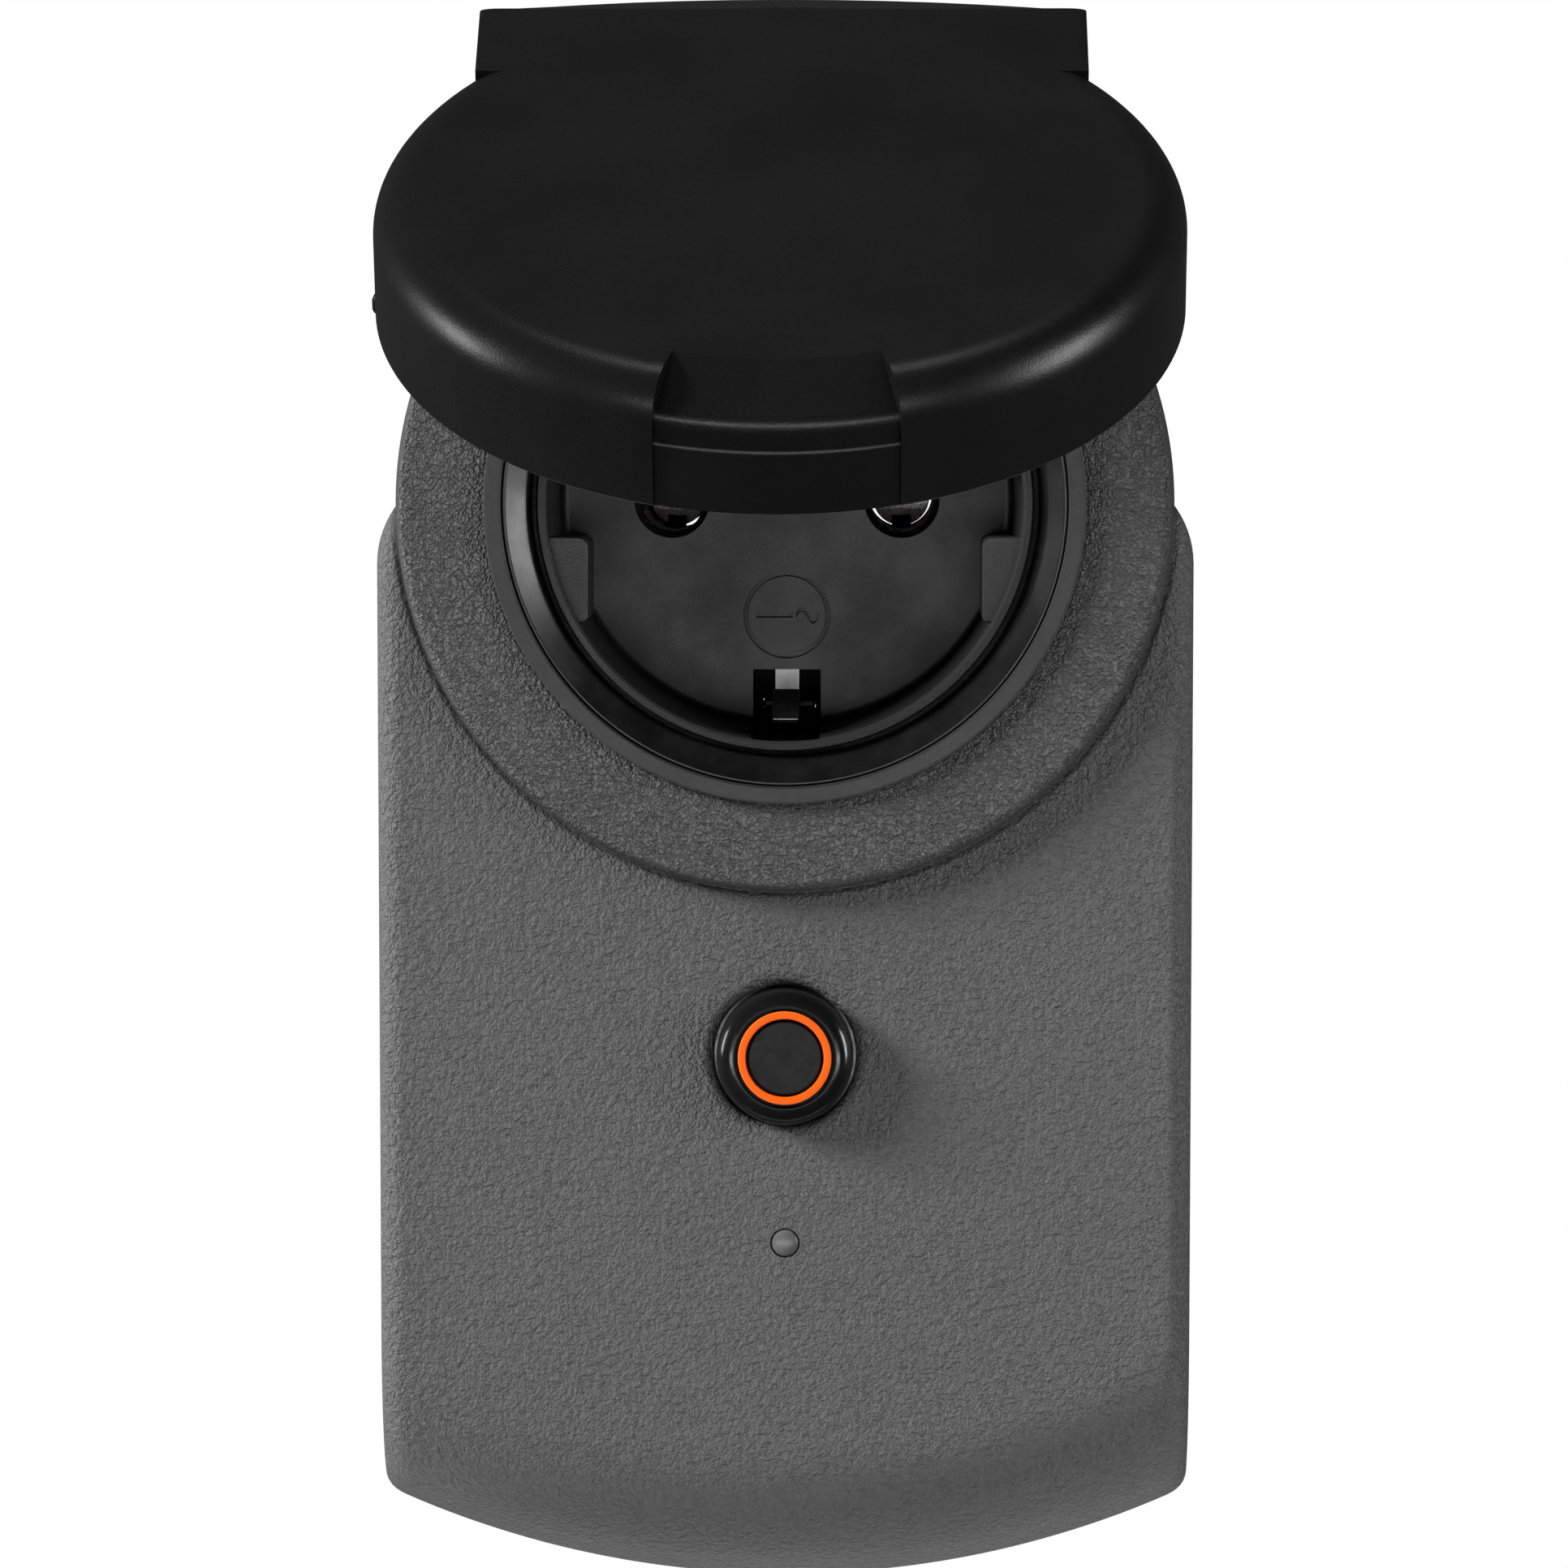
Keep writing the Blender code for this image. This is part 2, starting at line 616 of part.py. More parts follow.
def build_leads(parent, paints):
    """Leads from the plug to the board and on to the socket, and the earth leads."""
    radius = 0.8
    for side, kind, paint in ((-1, "line", "brown"), (1, "neutral", "blue")):
        x = side * PIN_X
        fed = [(x, -1.5, 23.8), (x + side, -12, 23.9), (side * 14.5, -21, 26), (side * 18, -27, 34)]
        fed += [(side * 18, -28.8, 42), (side * 18, -28.6, 49.4)]
        wire(f"{kind}_lead_in", fed, radius, parent, paints[paint])
        out = [(x, -4.4, 33), (x, -10, 33), (side * 9, -19, 36), (side * 8.2, -26.8, 42)]
        out += [(side * 8, -28.6, 49.4)]
        wire(f"{kind}_lead_out", out, radius, parent, paints[paint])
    for name, side in (("earth_lead_upper", 1), ("earth_lead_lower", -1)):
        stops = [(0, side * 17.4, 24.5), (0, side * 16, 29), (0, side * 12, 35), (0, side * 9, 40.0)]
        wire(name, stops, radius, parent, paints["green"])


def build_lid(parent, plastic, rubber, steel):
    """The lid, drawn closed inside lid_frame. The lid_hinge empty swings it open."""
    hinge = add_empty("lid_hinge", parent, (0, HINGE_V, HINGE_F), -LID_OPEN)
    frame = add_empty("lid_frame", hinge, (0, -HINGE_V, -HINGE_F))
    base = COLLAR + GAP
    face = base + LID_DEPTH
    profile = [(0, face)]
    profile += arc((LID_R - LID_EDGE_R, face - LID_EDGE_R), LID_EDGE_R, 90, 0, 4)
    profile += [(LID_R, base), (0, base)]
    lid = turned("lid_shell", profile, frame, closed=False)
    tongue = [(face - 0.02, 18), (face - 0.02, 28.5)]
    tongue += arc((HINGE_F, HINGE_V), KNUCKLE_R, 25.5, 270, 11)
    tongue += [(64.5, 31.6), (64.5, 30.0), (69, 18)]
    plate_body = side_plate("tongue", tongue, -TONGUE_HALF, TONGUE_HALF, frame)
    edges = plate_body.modifiers.new("edges", "BEVEL")
    edges.width = 0.8 * MM
    edges.segments = 2
    edges.angle_limit = math.radians(50)
    join(lid, plate_body)
    room = [(0, face - LID_WALL), (26.4, face - LID_WALL), (LID_R - LID_WALL, face - 4.6)]
    room += [(LID_R - LID_WALL, 58), (0, 58)]
    cut(lid, turned("lid_cavity", room, frame, closed=False))
    near, far = EAR_X
    for side in (-1, 1):
        pocket = arc((HINGE_F, HINGE_V), EAR_R + 0.4, 90, -60, 6)
        pocket += [(HINGE_F + 1.4, 31.55), (50, 31.55), (50, HINGE_V + 6.5), (HINGE_F - 1.6, HINGE_V + 2.9)]
        low, high = sorted((side * (near - 0.4), side * (far + 0.4)))
        cut(lid, side_plate(f"ear_pocket_{side}", pocket, low, high, frame))
    axis = hinge_axis_frame(frame)
    cut(lid, rod("lid_pin_bore", 1.55, -23.4, 25, axis, steps=12))
    cut(lid, *tab_cutters(frame, base, face))
    finish(lid, plastic)
    seal = [(26.1, 72.2), (26.1, 71.0), (24.6, 71.0), (24.6, 64.5), (22.8, 64.5), (22.8, 71.0)]
    seal += [(20.5, 71.0), (20.5, 72.2)]
    finish(turned("lid_seal", seal, frame, steps=36), rubber)
    pin = rod("hinge_pin", 1.2, -23.1, 23.7, hinge_axis_frame(parent), steps=12)
    finish(pin, steel)


def tab_cutters(frame, base, face):
    """What the finger tab leaves out of the lid's rounded edge: a slope, a band and a lower wall."""
    slope = [(face + 1, -25.5), (face, -26.3), (base + 7.0, -31.0), (base + 7.0, -34), (face + 1, -34)]
    tools = [side_plate("tab_slope", slope, -TAB_HALF, TAB_HALF, frame)]
    spread = math.degrees(math.asin(TAB_HALF / LID_R))
    for name, radius, low, high in (("tab_band", 30.5, 5.2, 8.0), ("tab_wall", 30.8, -1.0, 5.2)):
        edge = arc((0, 0), radius, -90 - spread, -90 + spread, 6)
        edge += arc((0, 0), LID_R + 2, -90 + spread, -90 - spread, 3)
        tools.append(plate(name, edge, base + low, base + high, frame))
    return tools


def make_paints():
    return {
        "grey": add_material("grained_grey", (0.1, 0.1, 0.102), 0.55),
        "black": add_material("satin_black", (0.014, 0.014, 0.014), 0.45),
        "dark": add_material("socket_black", (0.018, 0.018, 0.018), 0.4),
        "gloss": add_material("gloss_black", (0.008, 0.008, 0.008), 0.15),
        "ring": add_material("orange", (0.85, 0.12, 0.004), 0.4),
        "rubber": add_material("rubber", (0.012, 0.012, 0.012), 0.6),
        "lens": add_material("lens", (0.12, 0.12, 0.12), 0.3),
        "brass": add_material("brass", (0.6, 0.42, 0.16), 0.3, 1.0),
        "nickel": add_material("nickel", (0.62, 0.6, 0.56), 0.25, 1.0),
        "steel": add_material("steel", (0.55, 0.55, 0.55), 0.35, 1.0),
        "board": add_material("board_green", (0.01, 0.11, 0.03), 0.4),
        "relay": add_material("relay_black", (0.02, 0.02, 0.022), 0.4),
        "film": add_material("film_yellow", (0.5, 0.32, 0.03), 0.4),
        "coil": add_material("coil_amber", (0.45, 0.22, 0.03), 0.5),
        "varistor": add_material("varistor_blue", (0.02, 0.1, 0.35), 0.4),
        "fuse": add_material("fuse_white", (0.7, 0.7, 0.66), 0.4),
        "shield": add_material("shield", (0.6, 0.6, 0.6), 0.3, 1.0),
        "brown": add_material("brown_lead", (0.12, 0.04, 0.012), 0.45),
        "blue": add_material("blue_lead", (0.01, 0.05, 0.4), 0.45),
        "green": add_material("earth_lead", (0.1, 0.3, 0.02), 0.45),
    }


clear_scene()
parts = add_collection("smart_plug")
cutters = add_collection("cutters")
paints = make_paints()
wall_frame = add_empty("wall_frame", tilt=90)
build_front_housing(wall_frame, paints["grey"])
build_rear_housing(wall_frame, paints["grey"])
build_housing_seal(wall_frame, paints["rubber"])
build_screws(wall_frame, paints["steel"])
build_socket_insert(wall_frame, paints["dark"])
build_socket_seal(wall_frame, paints["rubber"])
build_contacts(wall_frame, paints["brass"])
build_earth_bow(wall_frame, paints["steel"])
build_plug(wall_frame, paints["dark"], paints["nickel"])
build_board(wall_frame, paints)
build_button(wall_frame, paints)
build_light(wall_frame, paints["lens"])
build_leads(wall_frame, paints)
build_lid(wall_frame, paints["black"], paints["rubber"], paints["steel"])
cutters.hide_render = True
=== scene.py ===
import json
import math

import bmesh
import bpy
from mathutils import Matrix, Vector


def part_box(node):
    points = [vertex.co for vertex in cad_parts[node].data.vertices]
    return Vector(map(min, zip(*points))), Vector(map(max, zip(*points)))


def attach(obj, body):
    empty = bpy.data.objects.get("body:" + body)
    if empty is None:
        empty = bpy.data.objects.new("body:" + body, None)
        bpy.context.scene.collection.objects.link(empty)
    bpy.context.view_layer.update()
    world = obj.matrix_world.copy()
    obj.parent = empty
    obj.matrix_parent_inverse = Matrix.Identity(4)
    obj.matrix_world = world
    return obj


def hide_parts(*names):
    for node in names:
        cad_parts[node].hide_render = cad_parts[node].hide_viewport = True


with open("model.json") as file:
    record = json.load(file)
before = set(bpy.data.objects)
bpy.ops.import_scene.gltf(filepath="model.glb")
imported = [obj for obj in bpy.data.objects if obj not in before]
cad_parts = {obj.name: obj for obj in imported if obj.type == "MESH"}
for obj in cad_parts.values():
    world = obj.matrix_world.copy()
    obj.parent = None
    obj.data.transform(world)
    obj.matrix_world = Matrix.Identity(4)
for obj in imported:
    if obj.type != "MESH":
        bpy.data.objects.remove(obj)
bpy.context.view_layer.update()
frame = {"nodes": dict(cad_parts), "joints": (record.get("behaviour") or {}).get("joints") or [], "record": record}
scene = bpy.context.scene
scene.view_settings.view_transform = "Standard"
mm = 0.001
print("frame loaded:", len(frame["nodes"]), "nodes")

# Anchor places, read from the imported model. Points are (x, up, out) in millimetres, out of the wall.
rearLow, rearHigh = (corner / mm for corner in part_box("rear_housing"))
buttonMiddle = sum(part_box("button_cap"), Vector()) / 2 / mm
lightMiddle = sum(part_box("light_pipe"), Vector()) / 2 / mm
hinge = next(joint for joint in frame["joints"] if joint["name"] == "lid_hinge")
hingeUp, hingeOut = hinge["pos_m"][2] / mm, -hinge["pos_m"][1] / mm
lidOpen = math.radians(-hinge["range_deg"][0])


# Camera first: a long lens, a little right of the middle and looking slightly down and to the left

view = {"lens": 213.1, "right": 7.4, "up": 9.1, "away": 813.5, "down": 2.43, "left": 0.57}


def addCamera():
    camera = bpy.data.objects.new("camera", bpy.data.cameras.new("camera"))
    scene.collection.objects.link(camera)
    camera.data.lens = view["lens"]
    camera.location = (view["right"] * mm, -view["away"] * mm, view["up"] * mm)
    camera.rotation_euler = (math.radians(90 - view["down"]), 0, math.radians(view["left"]))
    scene.camera = camera


addCamera()


# Shapes

def at(x, up, out):
    return Vector((x, -out, up)) * mm


def arc(centre, radius, start, end, count):
    points = []
    for step in range(count + 1):
        angle = math.radians(start + (end - start) * step / count)
        points.append((centre[0] + radius * math.cos(angle), centre[1] + radius * math.sin(angle)))
    return points


def soften(points, radius, count=3, loop=False):
    # rounds the corners of a flat line of points
    soft = [] if loop else [points[0]]
    last = len(points) if loop else len(points) - 1
    for index in range(0 if loop else 1, last):
        a, b, c = (Vector(points[(index + step) % len(points)]) for step in (-1, 0, 1))
        back, ahead = (a - b), (c - b)
        if back.angle(ahead, math.pi) > math.radians(155):
            soft.append(tuple(b))
            continue
        short = min(radius, back.length * 0.45, ahead.length * 0.45)
        start, end = b + back.normalized() * short, b + ahead.normalized() * short
        for step in range(count + 1):
            t = step / count
            soft.append(tuple(start * (1 - t) ** 2 + b * 2 * t * (1 - t) + end * t**2))
    if not loop:
        soft.append(points[-1])
    return soft


def skin(name, rings, loop=False):
    # a closed mesh over rings of points; a ring of one point is a pole
    mesh = bpy.data.meshes.new(name)
    shape = bmesh.new()
    rows = [[shape.verts.new(at(*point)) for point in ring] for ring in rings]
    pairs = list(zip(rows, rows[1:])) + ([(rows[-1], rows[0])] if loop else [])
    for low, high in pairs:
        count = max(len(low), len(high))
        for side in range(count):
            after = (side + 1) % count
            corners = [low[side % len(low)], low[after % len(low)]]
            corners += [high[after % len(high)], high[side % len(high)]]
            corners = list(dict.fromkeys(corners))
            if len(corners) > 2:
                shape.faces.new(corners)
    if not loop:
        for row in (rows[0], rows[-1]):
            if len(row) > 2:
                shape.faces.new(row)
    bmesh.ops.recalc_face_normals(shape, faces=shape.faces)
    if shape.calc_volume(signed=True) < 0:
        bmesh.ops.reverse_faces(shape, faces=shape.faces)
    shape.to_mesh(mesh)
    shape.free()
    return mesh


def turned(name, profile, centre=(0, 0), steps=96, loop=False):
    # turns a profile of (radius, out) points about an axis out of the wall
    rings = []
    for radius, out in profile:
        if radius < 1e-6:
            rings.append([(centre[0], centre[1], out)])
            continue
        ring = []
        for step in range(steps):
            angle = 2 * math.pi * step / steps
            ring.append((centre[0] + radius * math.cos(angle), centre[1] + radius * math.sin(angle), out))
        rings.append(ring)
    return skin(name, rings, loop)


def rod(name, radius, low, high, centre=(0, 0), steps=96):
    # a plain cylinder about an axis out of the wall
    return turned(name, [(0, high), (radius, high), (radius, low), (0, low)], centre, steps)


def inset(outline, by):
    # moves each point of a closed outline inwards along its corner's bisector
    count = len(outline)
    area = sum(a[0] * b[1] - b[0] * a[1] for a, b in zip(outline, outline[1:] + outline[:1]))
    turn = 1 if area > 0 else -1
    moved = []
    for index in range(count):
        a, b, c = (Vector(outline[(index + step) % count]) for step in (-1, 0, 1))
        before, after = (b - a).normalized(), (c - b).normalized()
        normal = Vector((-before.y - after.y, before.x + after.x)) * turn
        normal = normal / max(normal.length_squared / 2, 0.3)
        moved.append(tuple(b + normal * by))
    return moved


def plate(name, outline, low, high, edge=0.0, foot=0.0):
    # a flat body with an outline of (x, up), rounded by edge at the top and by foot at the bottom
    rings = []
    for size, level, turn in ((foot, low, -1), (edge, high, 1)):
        stops = [90, 60, 30, 0] if size else [0]
        stops = stops if turn < 0 else stops[::-1]
        for angle in stops:
            away = size * (1 - math.cos(math.radians(angle)))
            rise = size * (1 - math.sin(math.radians(angle)))
            ring = inset(outline, away) if away else outline
            rings.append([(x, up, level - turn * rise) for x, up in ring])
    return skin(name, rings)


def sidePlate(name, outline, low, high):
    # a flat body with an outline of (out, up), between two places along x
    return skin(name, [[(x, up, out) for out, up in outline] for x in (low, high)])


def box(name, low, high, edge=0.0):
    (x0, up0, out0), (x1, up1, out1) = low, high
    outline = [(x0, up0), (x1, up0), (x1, up1), (x0, up1)]
    if edge:
        outline = soften(outline, edge, 3, loop=True)
    return plate(name, outline, out0, out1, edge, edge)


def tempObject(mesh):
    obj = bpy.data.objects.new(mesh.name, mesh)
    scene.collection.objects.link(obj)
    return obj


def carve(mesh, cuts=(), joins=()):
    # joins and cuts closed meshes, merges the flat faces and gives back a plain mesh
    obj = tempObject(mesh)
    others = []
    for kind, group in (("UNION", joins), ("DIFFERENCE", cuts)):
        for other in group:
            others.append(tempObject(other))
            step = obj.modifiers.new(other.name, "BOOLEAN")
            step.operation = kind
            step.solver = "MANIFOLD"
            step.object = others[-1]
    graph = bpy.context.evaluated_depsgraph_get()
    made = bpy.data.meshes.new_from_object(obj.evaluated_get(graph))
    made.name = mesh.name
    for spare in [obj, *others]:
        bpy.data.objects.remove(spare)
    shape = bmesh.new()
    shape.from_mesh(made)
    bmesh.ops.remove_doubles(shape, verts=shape.verts, dist=1e-6)
    bmesh.ops.dissolve_limit(shape, angle_limit=math.radians(0.25), verts=shape.verts, edges=shape.edges)
    shape.to_mesh(made)
    shape.free()
    return made


def addPiece(name, mesh, body, slot, node, sharp=40, edge=0.0):
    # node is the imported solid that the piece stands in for; edge is a bevel in millimetres
    mesh.name = name
    mesh.materials.clear()
    mesh.materials.append(paints[slot])
    mesh.shade_smooth()
    mesh.set_sharp_from_angle(angle=math.radians(sharp))
    piece = bpy.data.objects.new(name, mesh)
    scene.collection.objects.link(piece)
    if edge:
        bevel = piece.modifiers.new("edges", "BEVEL")
        bevel.width = edge * mm
        bevel.segments = 2
        bevel.limit_method = "ANGLE"
        bevel.angle_limit = math.radians(38)
        bevel.use_clamp_overlap = False
        bevel.miter_outer = "MITER_ARC"
    weights = piece.modifiers.new("normals", "WEIGHTED_NORMAL")
    weights.keep_sharp = True
    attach(piece, body)
    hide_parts(node)


# Paints

class Wire:
    # a socket that takes part in arithmetic; each operation adds a Math node
    def __init__(self, paint, socket):
        self.paint, self.socket = paint, socket

    def maths(self, operation, first, second):
        return self.paint.node("Math", {"operation": operation}, {0: first, 1: second})

    def __add__(self, other):
        return self.maths("ADD", self, other)

    def __sub__(self, other):
        return self.maths("SUBTRACT", self, other)

    def __rsub__(self, other):
        return self.maths("SUBTRACT", other, self)

    def __mul__(self, other):
        return self.maths("MULTIPLY", self, other)

    def __abs__(self):
        return self.maths("ABSOLUTE", self, 0.0)

    __radd__ = __add__
    __rmul__ = __mul__


class Paint:
    def __init__(self, name, roughness, metallic=0.0, **fixed):
        self.material = bpy.data.materials.new(name)
        self.material.use_nodes = True
        self.tree = self.material.node_tree
        self.shader = self.tree.nodes["Principled BSDF"]
        self.shader.inputs["Roughness"].default_value = roughness
        self.shader.inputs["Metallic"].default_value = metallic
        for key, value in fixed.items():
            self.shader.inputs[key.replace("_", " ")].default_value = value
        self.place = self.node("TexCoord", output="Object")

    def node(self, kind, settings=None, sockets=None, output=0):
        made = self.tree.nodes.new("ShaderNode" + kind)
        for key, value in (settings or {}).items():
            setattr(made, key, value)
        for key, value in (sockets or {}).items():
            self.feed(made.inputs[key], value)
        return Wire(self, made.outputs[output])

    def feed(self, socket, value):
        if isinstance(value, Wire):
            self.tree.links.new(value.socket, socket)
        else:
            socket.default_value = value

    def into(self, name, value):
        self.feed(self.shader.inputs[name], value)

    def noise(self, size, detail=2.0, place=None, roughness=0.5):
        sockets = {"Vector": place or self.place, "Scale": 1 / (size * mm)}
        sockets.update({"Detail": detail, "Roughness": roughness})
        return self.node("TexNoise", sockets=sockets)

    def span(self, value, low, high, start=0.0, end=1.0):
        # eases from start to end as the value goes from low to high
        sockets = {"Value": value, "From Min": low, "From Max": high, "To Min": start, "To Max": end}
        return self.node("MapRange", {"interpolation_type": "SMOOTHSTEP", "clamp": True}, sockets)

    def mix(self, mask, first, second):
        first = (*first, 1.0) if isinstance(first, tuple) else first
        second = (*second, 1.0) if isinstance(second, tuple) else second
        return self.node("Mix", {"data_type": "RGBA"}, {0: mask, 6: first, 7: second}, output=2)

    def stretched(self, scale):
        return self.node("VectorMath", {"operation": "MULTIPLY"}, {0: self.place, 1: scale})

    def radius(self, centre=(0, 0)):
        # distance from an axis out of the wall, in metres
        axis = (centre[0] * mm, 0, centre[1] * mm)
        moved = self.node("VectorMath", {"operation": "SUBTRACT"}, {0: self.place, 1: axis})
        flat = self.node("VectorMath", {"operation": "MULTIPLY"}, {0: moved, 1: (1, 0, 1)})
        return self.node("VectorMath", {"operation": "LENGTH"}, {0: flat}, output="Value")

    def raised(self, height, depth):
        sockets = {"Height": height, "Distance": depth * mm, "Strength": 1.0}
        return self.node("Bump", sockets=sockets, output="Normal")


greyGrain = {
    "colour": (0.1, 0.1, 0.102), "worn": (0.11, 0.11, 0.112), "valleyShade": (0.084, 0.084, 0.086),
    "foldShade": (0.064, 0.064, 0.065), "footShade": (0.04, 0.04, 0.041), "rim": (0.024, 0.024, 0.0245),
    "rough": (0.42, 0.54), "wideFold": 0.8, "narrowFold": 0.5, "crinkle": 0.52, "fine": 0.16,
    "boxDepth": 0.3, "collarDepth": 0.38, "rimDepth": 0.02,
}


def grainedGrey():
    # leather grain, coarser on the collar; the collar's foot and the rim are smooth. The grain's grooves are
    # painted darker as shade, and the collar's foot carries a painted shade line
    paint = Paint("grainedGrey", 0.5, Specular_IOR_Level=0.45)
    out = paint.node("SeparateXYZ", sockets={0: paint.place}, output="Y") * -1.0
    radius = paint.radius() + paint.span(out, 0.057, 0.055, 0.0, 0.05)
    onBox = paint.span(radius, 0.0310, 0.0318)
    onGrain = paint.span(radius, 0.0242, 0.0246)
    # a narrow ring at the collar's foot: painted dark there as shade, with a softer grain
    offCollarFoot = paint.span(abs(radius - 0.03155), 0.0, 0.0006)
    wide = paint.span(abs(paint.noise(greyGrain["wideFold"], 2.0) - 0.5), 0.0, 0.1)
    narrow = paint.span(abs(paint.noise(greyGrain["narrowFold"], 1.0) - 0.5), 0.0, 0.1)
    crinkle = paint.noise(greyGrain["crinkle"], 3.0, roughness=0.55)
    fine = paint.noise(greyGrain["fine"], 2.0)
    boxHeight = wide * 0.25 + narrow * 0.15 + crinkle + fine * 0.2
    collarHeight = wide * 0.4 + narrow * 0.3 + crinkle * 0.7 + fine * 0.2
    grain = boxHeight * onBox * greyGrain["boxDepth"]
    grain = grain + collarHeight * (1 - onBox) * onGrain * greyGrain["collarDepth"]
    grain = grain * (offCollarFoot * 0.8 + 0.2) + paint.noise(0.16, 1.0) * (1 - onGrain) * greyGrain["rimDepth"]
    low, high = greyGrain["rough"]
    patches = paint.noise(14.0, 3.0)
    paint.into("Roughness", paint.span(patches * 0.6 + crinkle * 0.4, 0.3, 0.7, low, high))
    # painted shade: the collar's grain is painted darker along its fold lines and the box's grain darker in its
    # low crinkles, as shade in the grooves
    foldShaded = paint.mix(wide * narrow, greyGrain["foldShade"], greyGrain["colour"])
    plain = paint.mix(paint.span(crinkle, 0.35, 0.6), greyGrain["valleyShade"], greyGrain["colour"])
    colour = paint.mix(onBox, foldShaded, plain)
    worn = paint.span(paint.noise(9.0, 4.0, roughness=0.65), 0.35, 0.75, 0.0, 0.22)
    colour = paint.mix(worn, colour, greyGrain["worn"])
    # painted shade: a dark line at the collar's foot, where its rounded edge turns down onto the box
    colour = paint.mix(offCollarFoot, greyGrain["footShade"], colour)
    paint.into("Base Color", paint.mix(onGrain, greyGrain["rim"], colour))
    paint.into("Normal", paint.raised(grain, 1.0))
    return paint.material


lidFinish = {"colour": (0.0036, 0.0036, 0.0036), "rough": (0.3, 0.38), "grain": 0.2, "depth": 0.014}


def satinBlack():
    paint = Paint("satinBlack", 0.4, Specular_IOR_Level=0.4)
    fine = paint.noise(lidFinish["grain"], 2.0)
    patches = paint.noise(11.0, 4.0, roughness=0.6)
    scuffs = paint.noise(1.4, 5.0, paint.stretched((1, 1, 0.12)), 0.7)
    paint.into("Roughness", paint.span(patches * 0.7 + scuffs * 0.3, 0.3, 0.7, *lidFinish["rough"]))
    brighter = tuple(value * 1.5 for value in lidFinish["colour"])
    mask = paint.span(fine * 0.6 + patches * 0.4, 0.35, 0.7)
    paint.into("Base Color", paint.mix(mask, lidFinish["colour"], brighter))
    paint.into("Normal", paint.raised(fine + patches * 0.4, lidFinish["depth"]))
    return paint.material


sealFinish = {"colour": (0.0045, 0.0045, 0.0045), "rough": (0.26, 0.42), "depth": 0.006}


def sealRubber():
    # smooth rubber with faint rings left by its mould
    paint = Paint("sealRubber", 0.35, Specular_IOR_Level=0.6)
    rings = paint.node("CombineXYZ", sockets={0: paint.radius(), 1: 0.0, 2: 0.0})
    ringNoise = paint.noise(0.09, 3.0, rings, 0.6)
    patches = paint.noise(3.0, 4.0, roughness=0.6)
    paint.into("Roughness", paint.span(patches * 0.6 + ringNoise * 0.4, 0.3, 0.7, *sealFinish["rough"]))
    lighter = tuple(value * 2.0 for value in sealFinish["colour"])
    paint.into("Base Color", paint.mix(paint.span(patches, 0.3, 0.75), sealFinish["colour"], lighter))
    paint.into("Normal", paint.raised(ringNoise + patches * 0.5, sealFinish["depth"]))
    return paint.material


def socketBlack():
    # dark inside, with a light grain on the block tops and the lip; the deep parts are painted darker as shade,
    # and the block tops and the lip lighter as painted light
    paint = Paint("socketBlack", 0.42, Specular_IOR_Level=0.4)
    fine = paint.noise(0.2, 2.0)
    patches = paint.noise(7.0, 4.0, roughness=0.6)
    out = paint.node("SeparateXYZ", sockets={0: paint.place}, output="Y") * -1.0
    onTop = paint.span(out, 0.0605, 0.0611)
    paint.into("Roughness", paint.span(patches * 0.7 + fine * 0.3, 0.3, 0.7, 0.36, 0.5))
    # painted light and shade: everything at the block tops or nearer the front is painted lighter, the deep inside
    # darker
    shadedDeep = paint.mix(paint.span(patches, 0.3, 0.7), (0.009, 0.009, 0.009), (0.013, 0.013, 0.013))
    paint.into("Base Color", paint.mix(onTop, shadedDeep, (0.022, 0.022, 0.022)))
    paint.into("Normal", paint.raised(fine * (onTop * 1.6 + 0.35) + patches * 0.3, 0.014))
    return paint.material


def buttonGloss():
    # polished rim, with a fine grain inside the coloured ring
    paint = Paint("buttonGloss", 0.16, Specular_IOR_Level=0.45)
    inside = 1 - paint.span(paint.radius((buttonMiddle.x, buttonMiddle.z)), 0.0041, 0.0043)
    fine = paint.noise(0.13, 2.0)
    smears = paint.noise(1.1, 5.0, roughness=0.65)
    paint.into("Roughness", inside * 0.4 + paint.span(smears, 0.35, 0.75, 0.15, 0.26))
    paint.into("Base Color", paint.mix(inside, (0.005, 0.005, 0.005), (0.003, 0.003, 0.0031)))
    paint.into("Normal", paint.raised(fine * inside + smears * 0.15, 0.012))
    return paint.material


def orangeInk():
    paint = Paint("orangeInk", 0.42, Specular_IOR_Level=0.12)
    radius = paint.radius((buttonMiddle.x, buttonMiddle.z))
    speckle = paint.noise(0.12, 3.0)
    edge = paint.span(radius, 0.0037, 0.00384)
    colour = paint.mix(paint.span(speckle, 0.3, 0.7), (0.93, 0.095, 0.001), (1.0, 0.125, 0.002))
    paint.into("Base Color", paint.mix(edge * 0.5, colour, (0.95, 0.4, 0.12)))
    paint.into("Roughness", paint.span(speckle, 0.3, 0.7, 0.36, 0.5))
    paint.into("Normal", paint.raised(speckle, 0.006))
    return paint.material


def windowGrey():
    paint = Paint("windowGrey", 0.3, Specular_IOR_Level=0.5)
    haze = paint.noise(0.9, 4.0, roughness=0.6)
    hazy = paint.span(haze, 0.3, 0.7)
    paint.into("Base Color", paint.mix(hazy, (0.088, 0.088, 0.09), (0.11, 0.11, 0.112)))
    paint.into("Roughness", paint.span(haze, 0.3, 0.7, 0.26, 0.38))
    paint.into("Normal", paint.raised(haze, 0.006))
    return paint.material


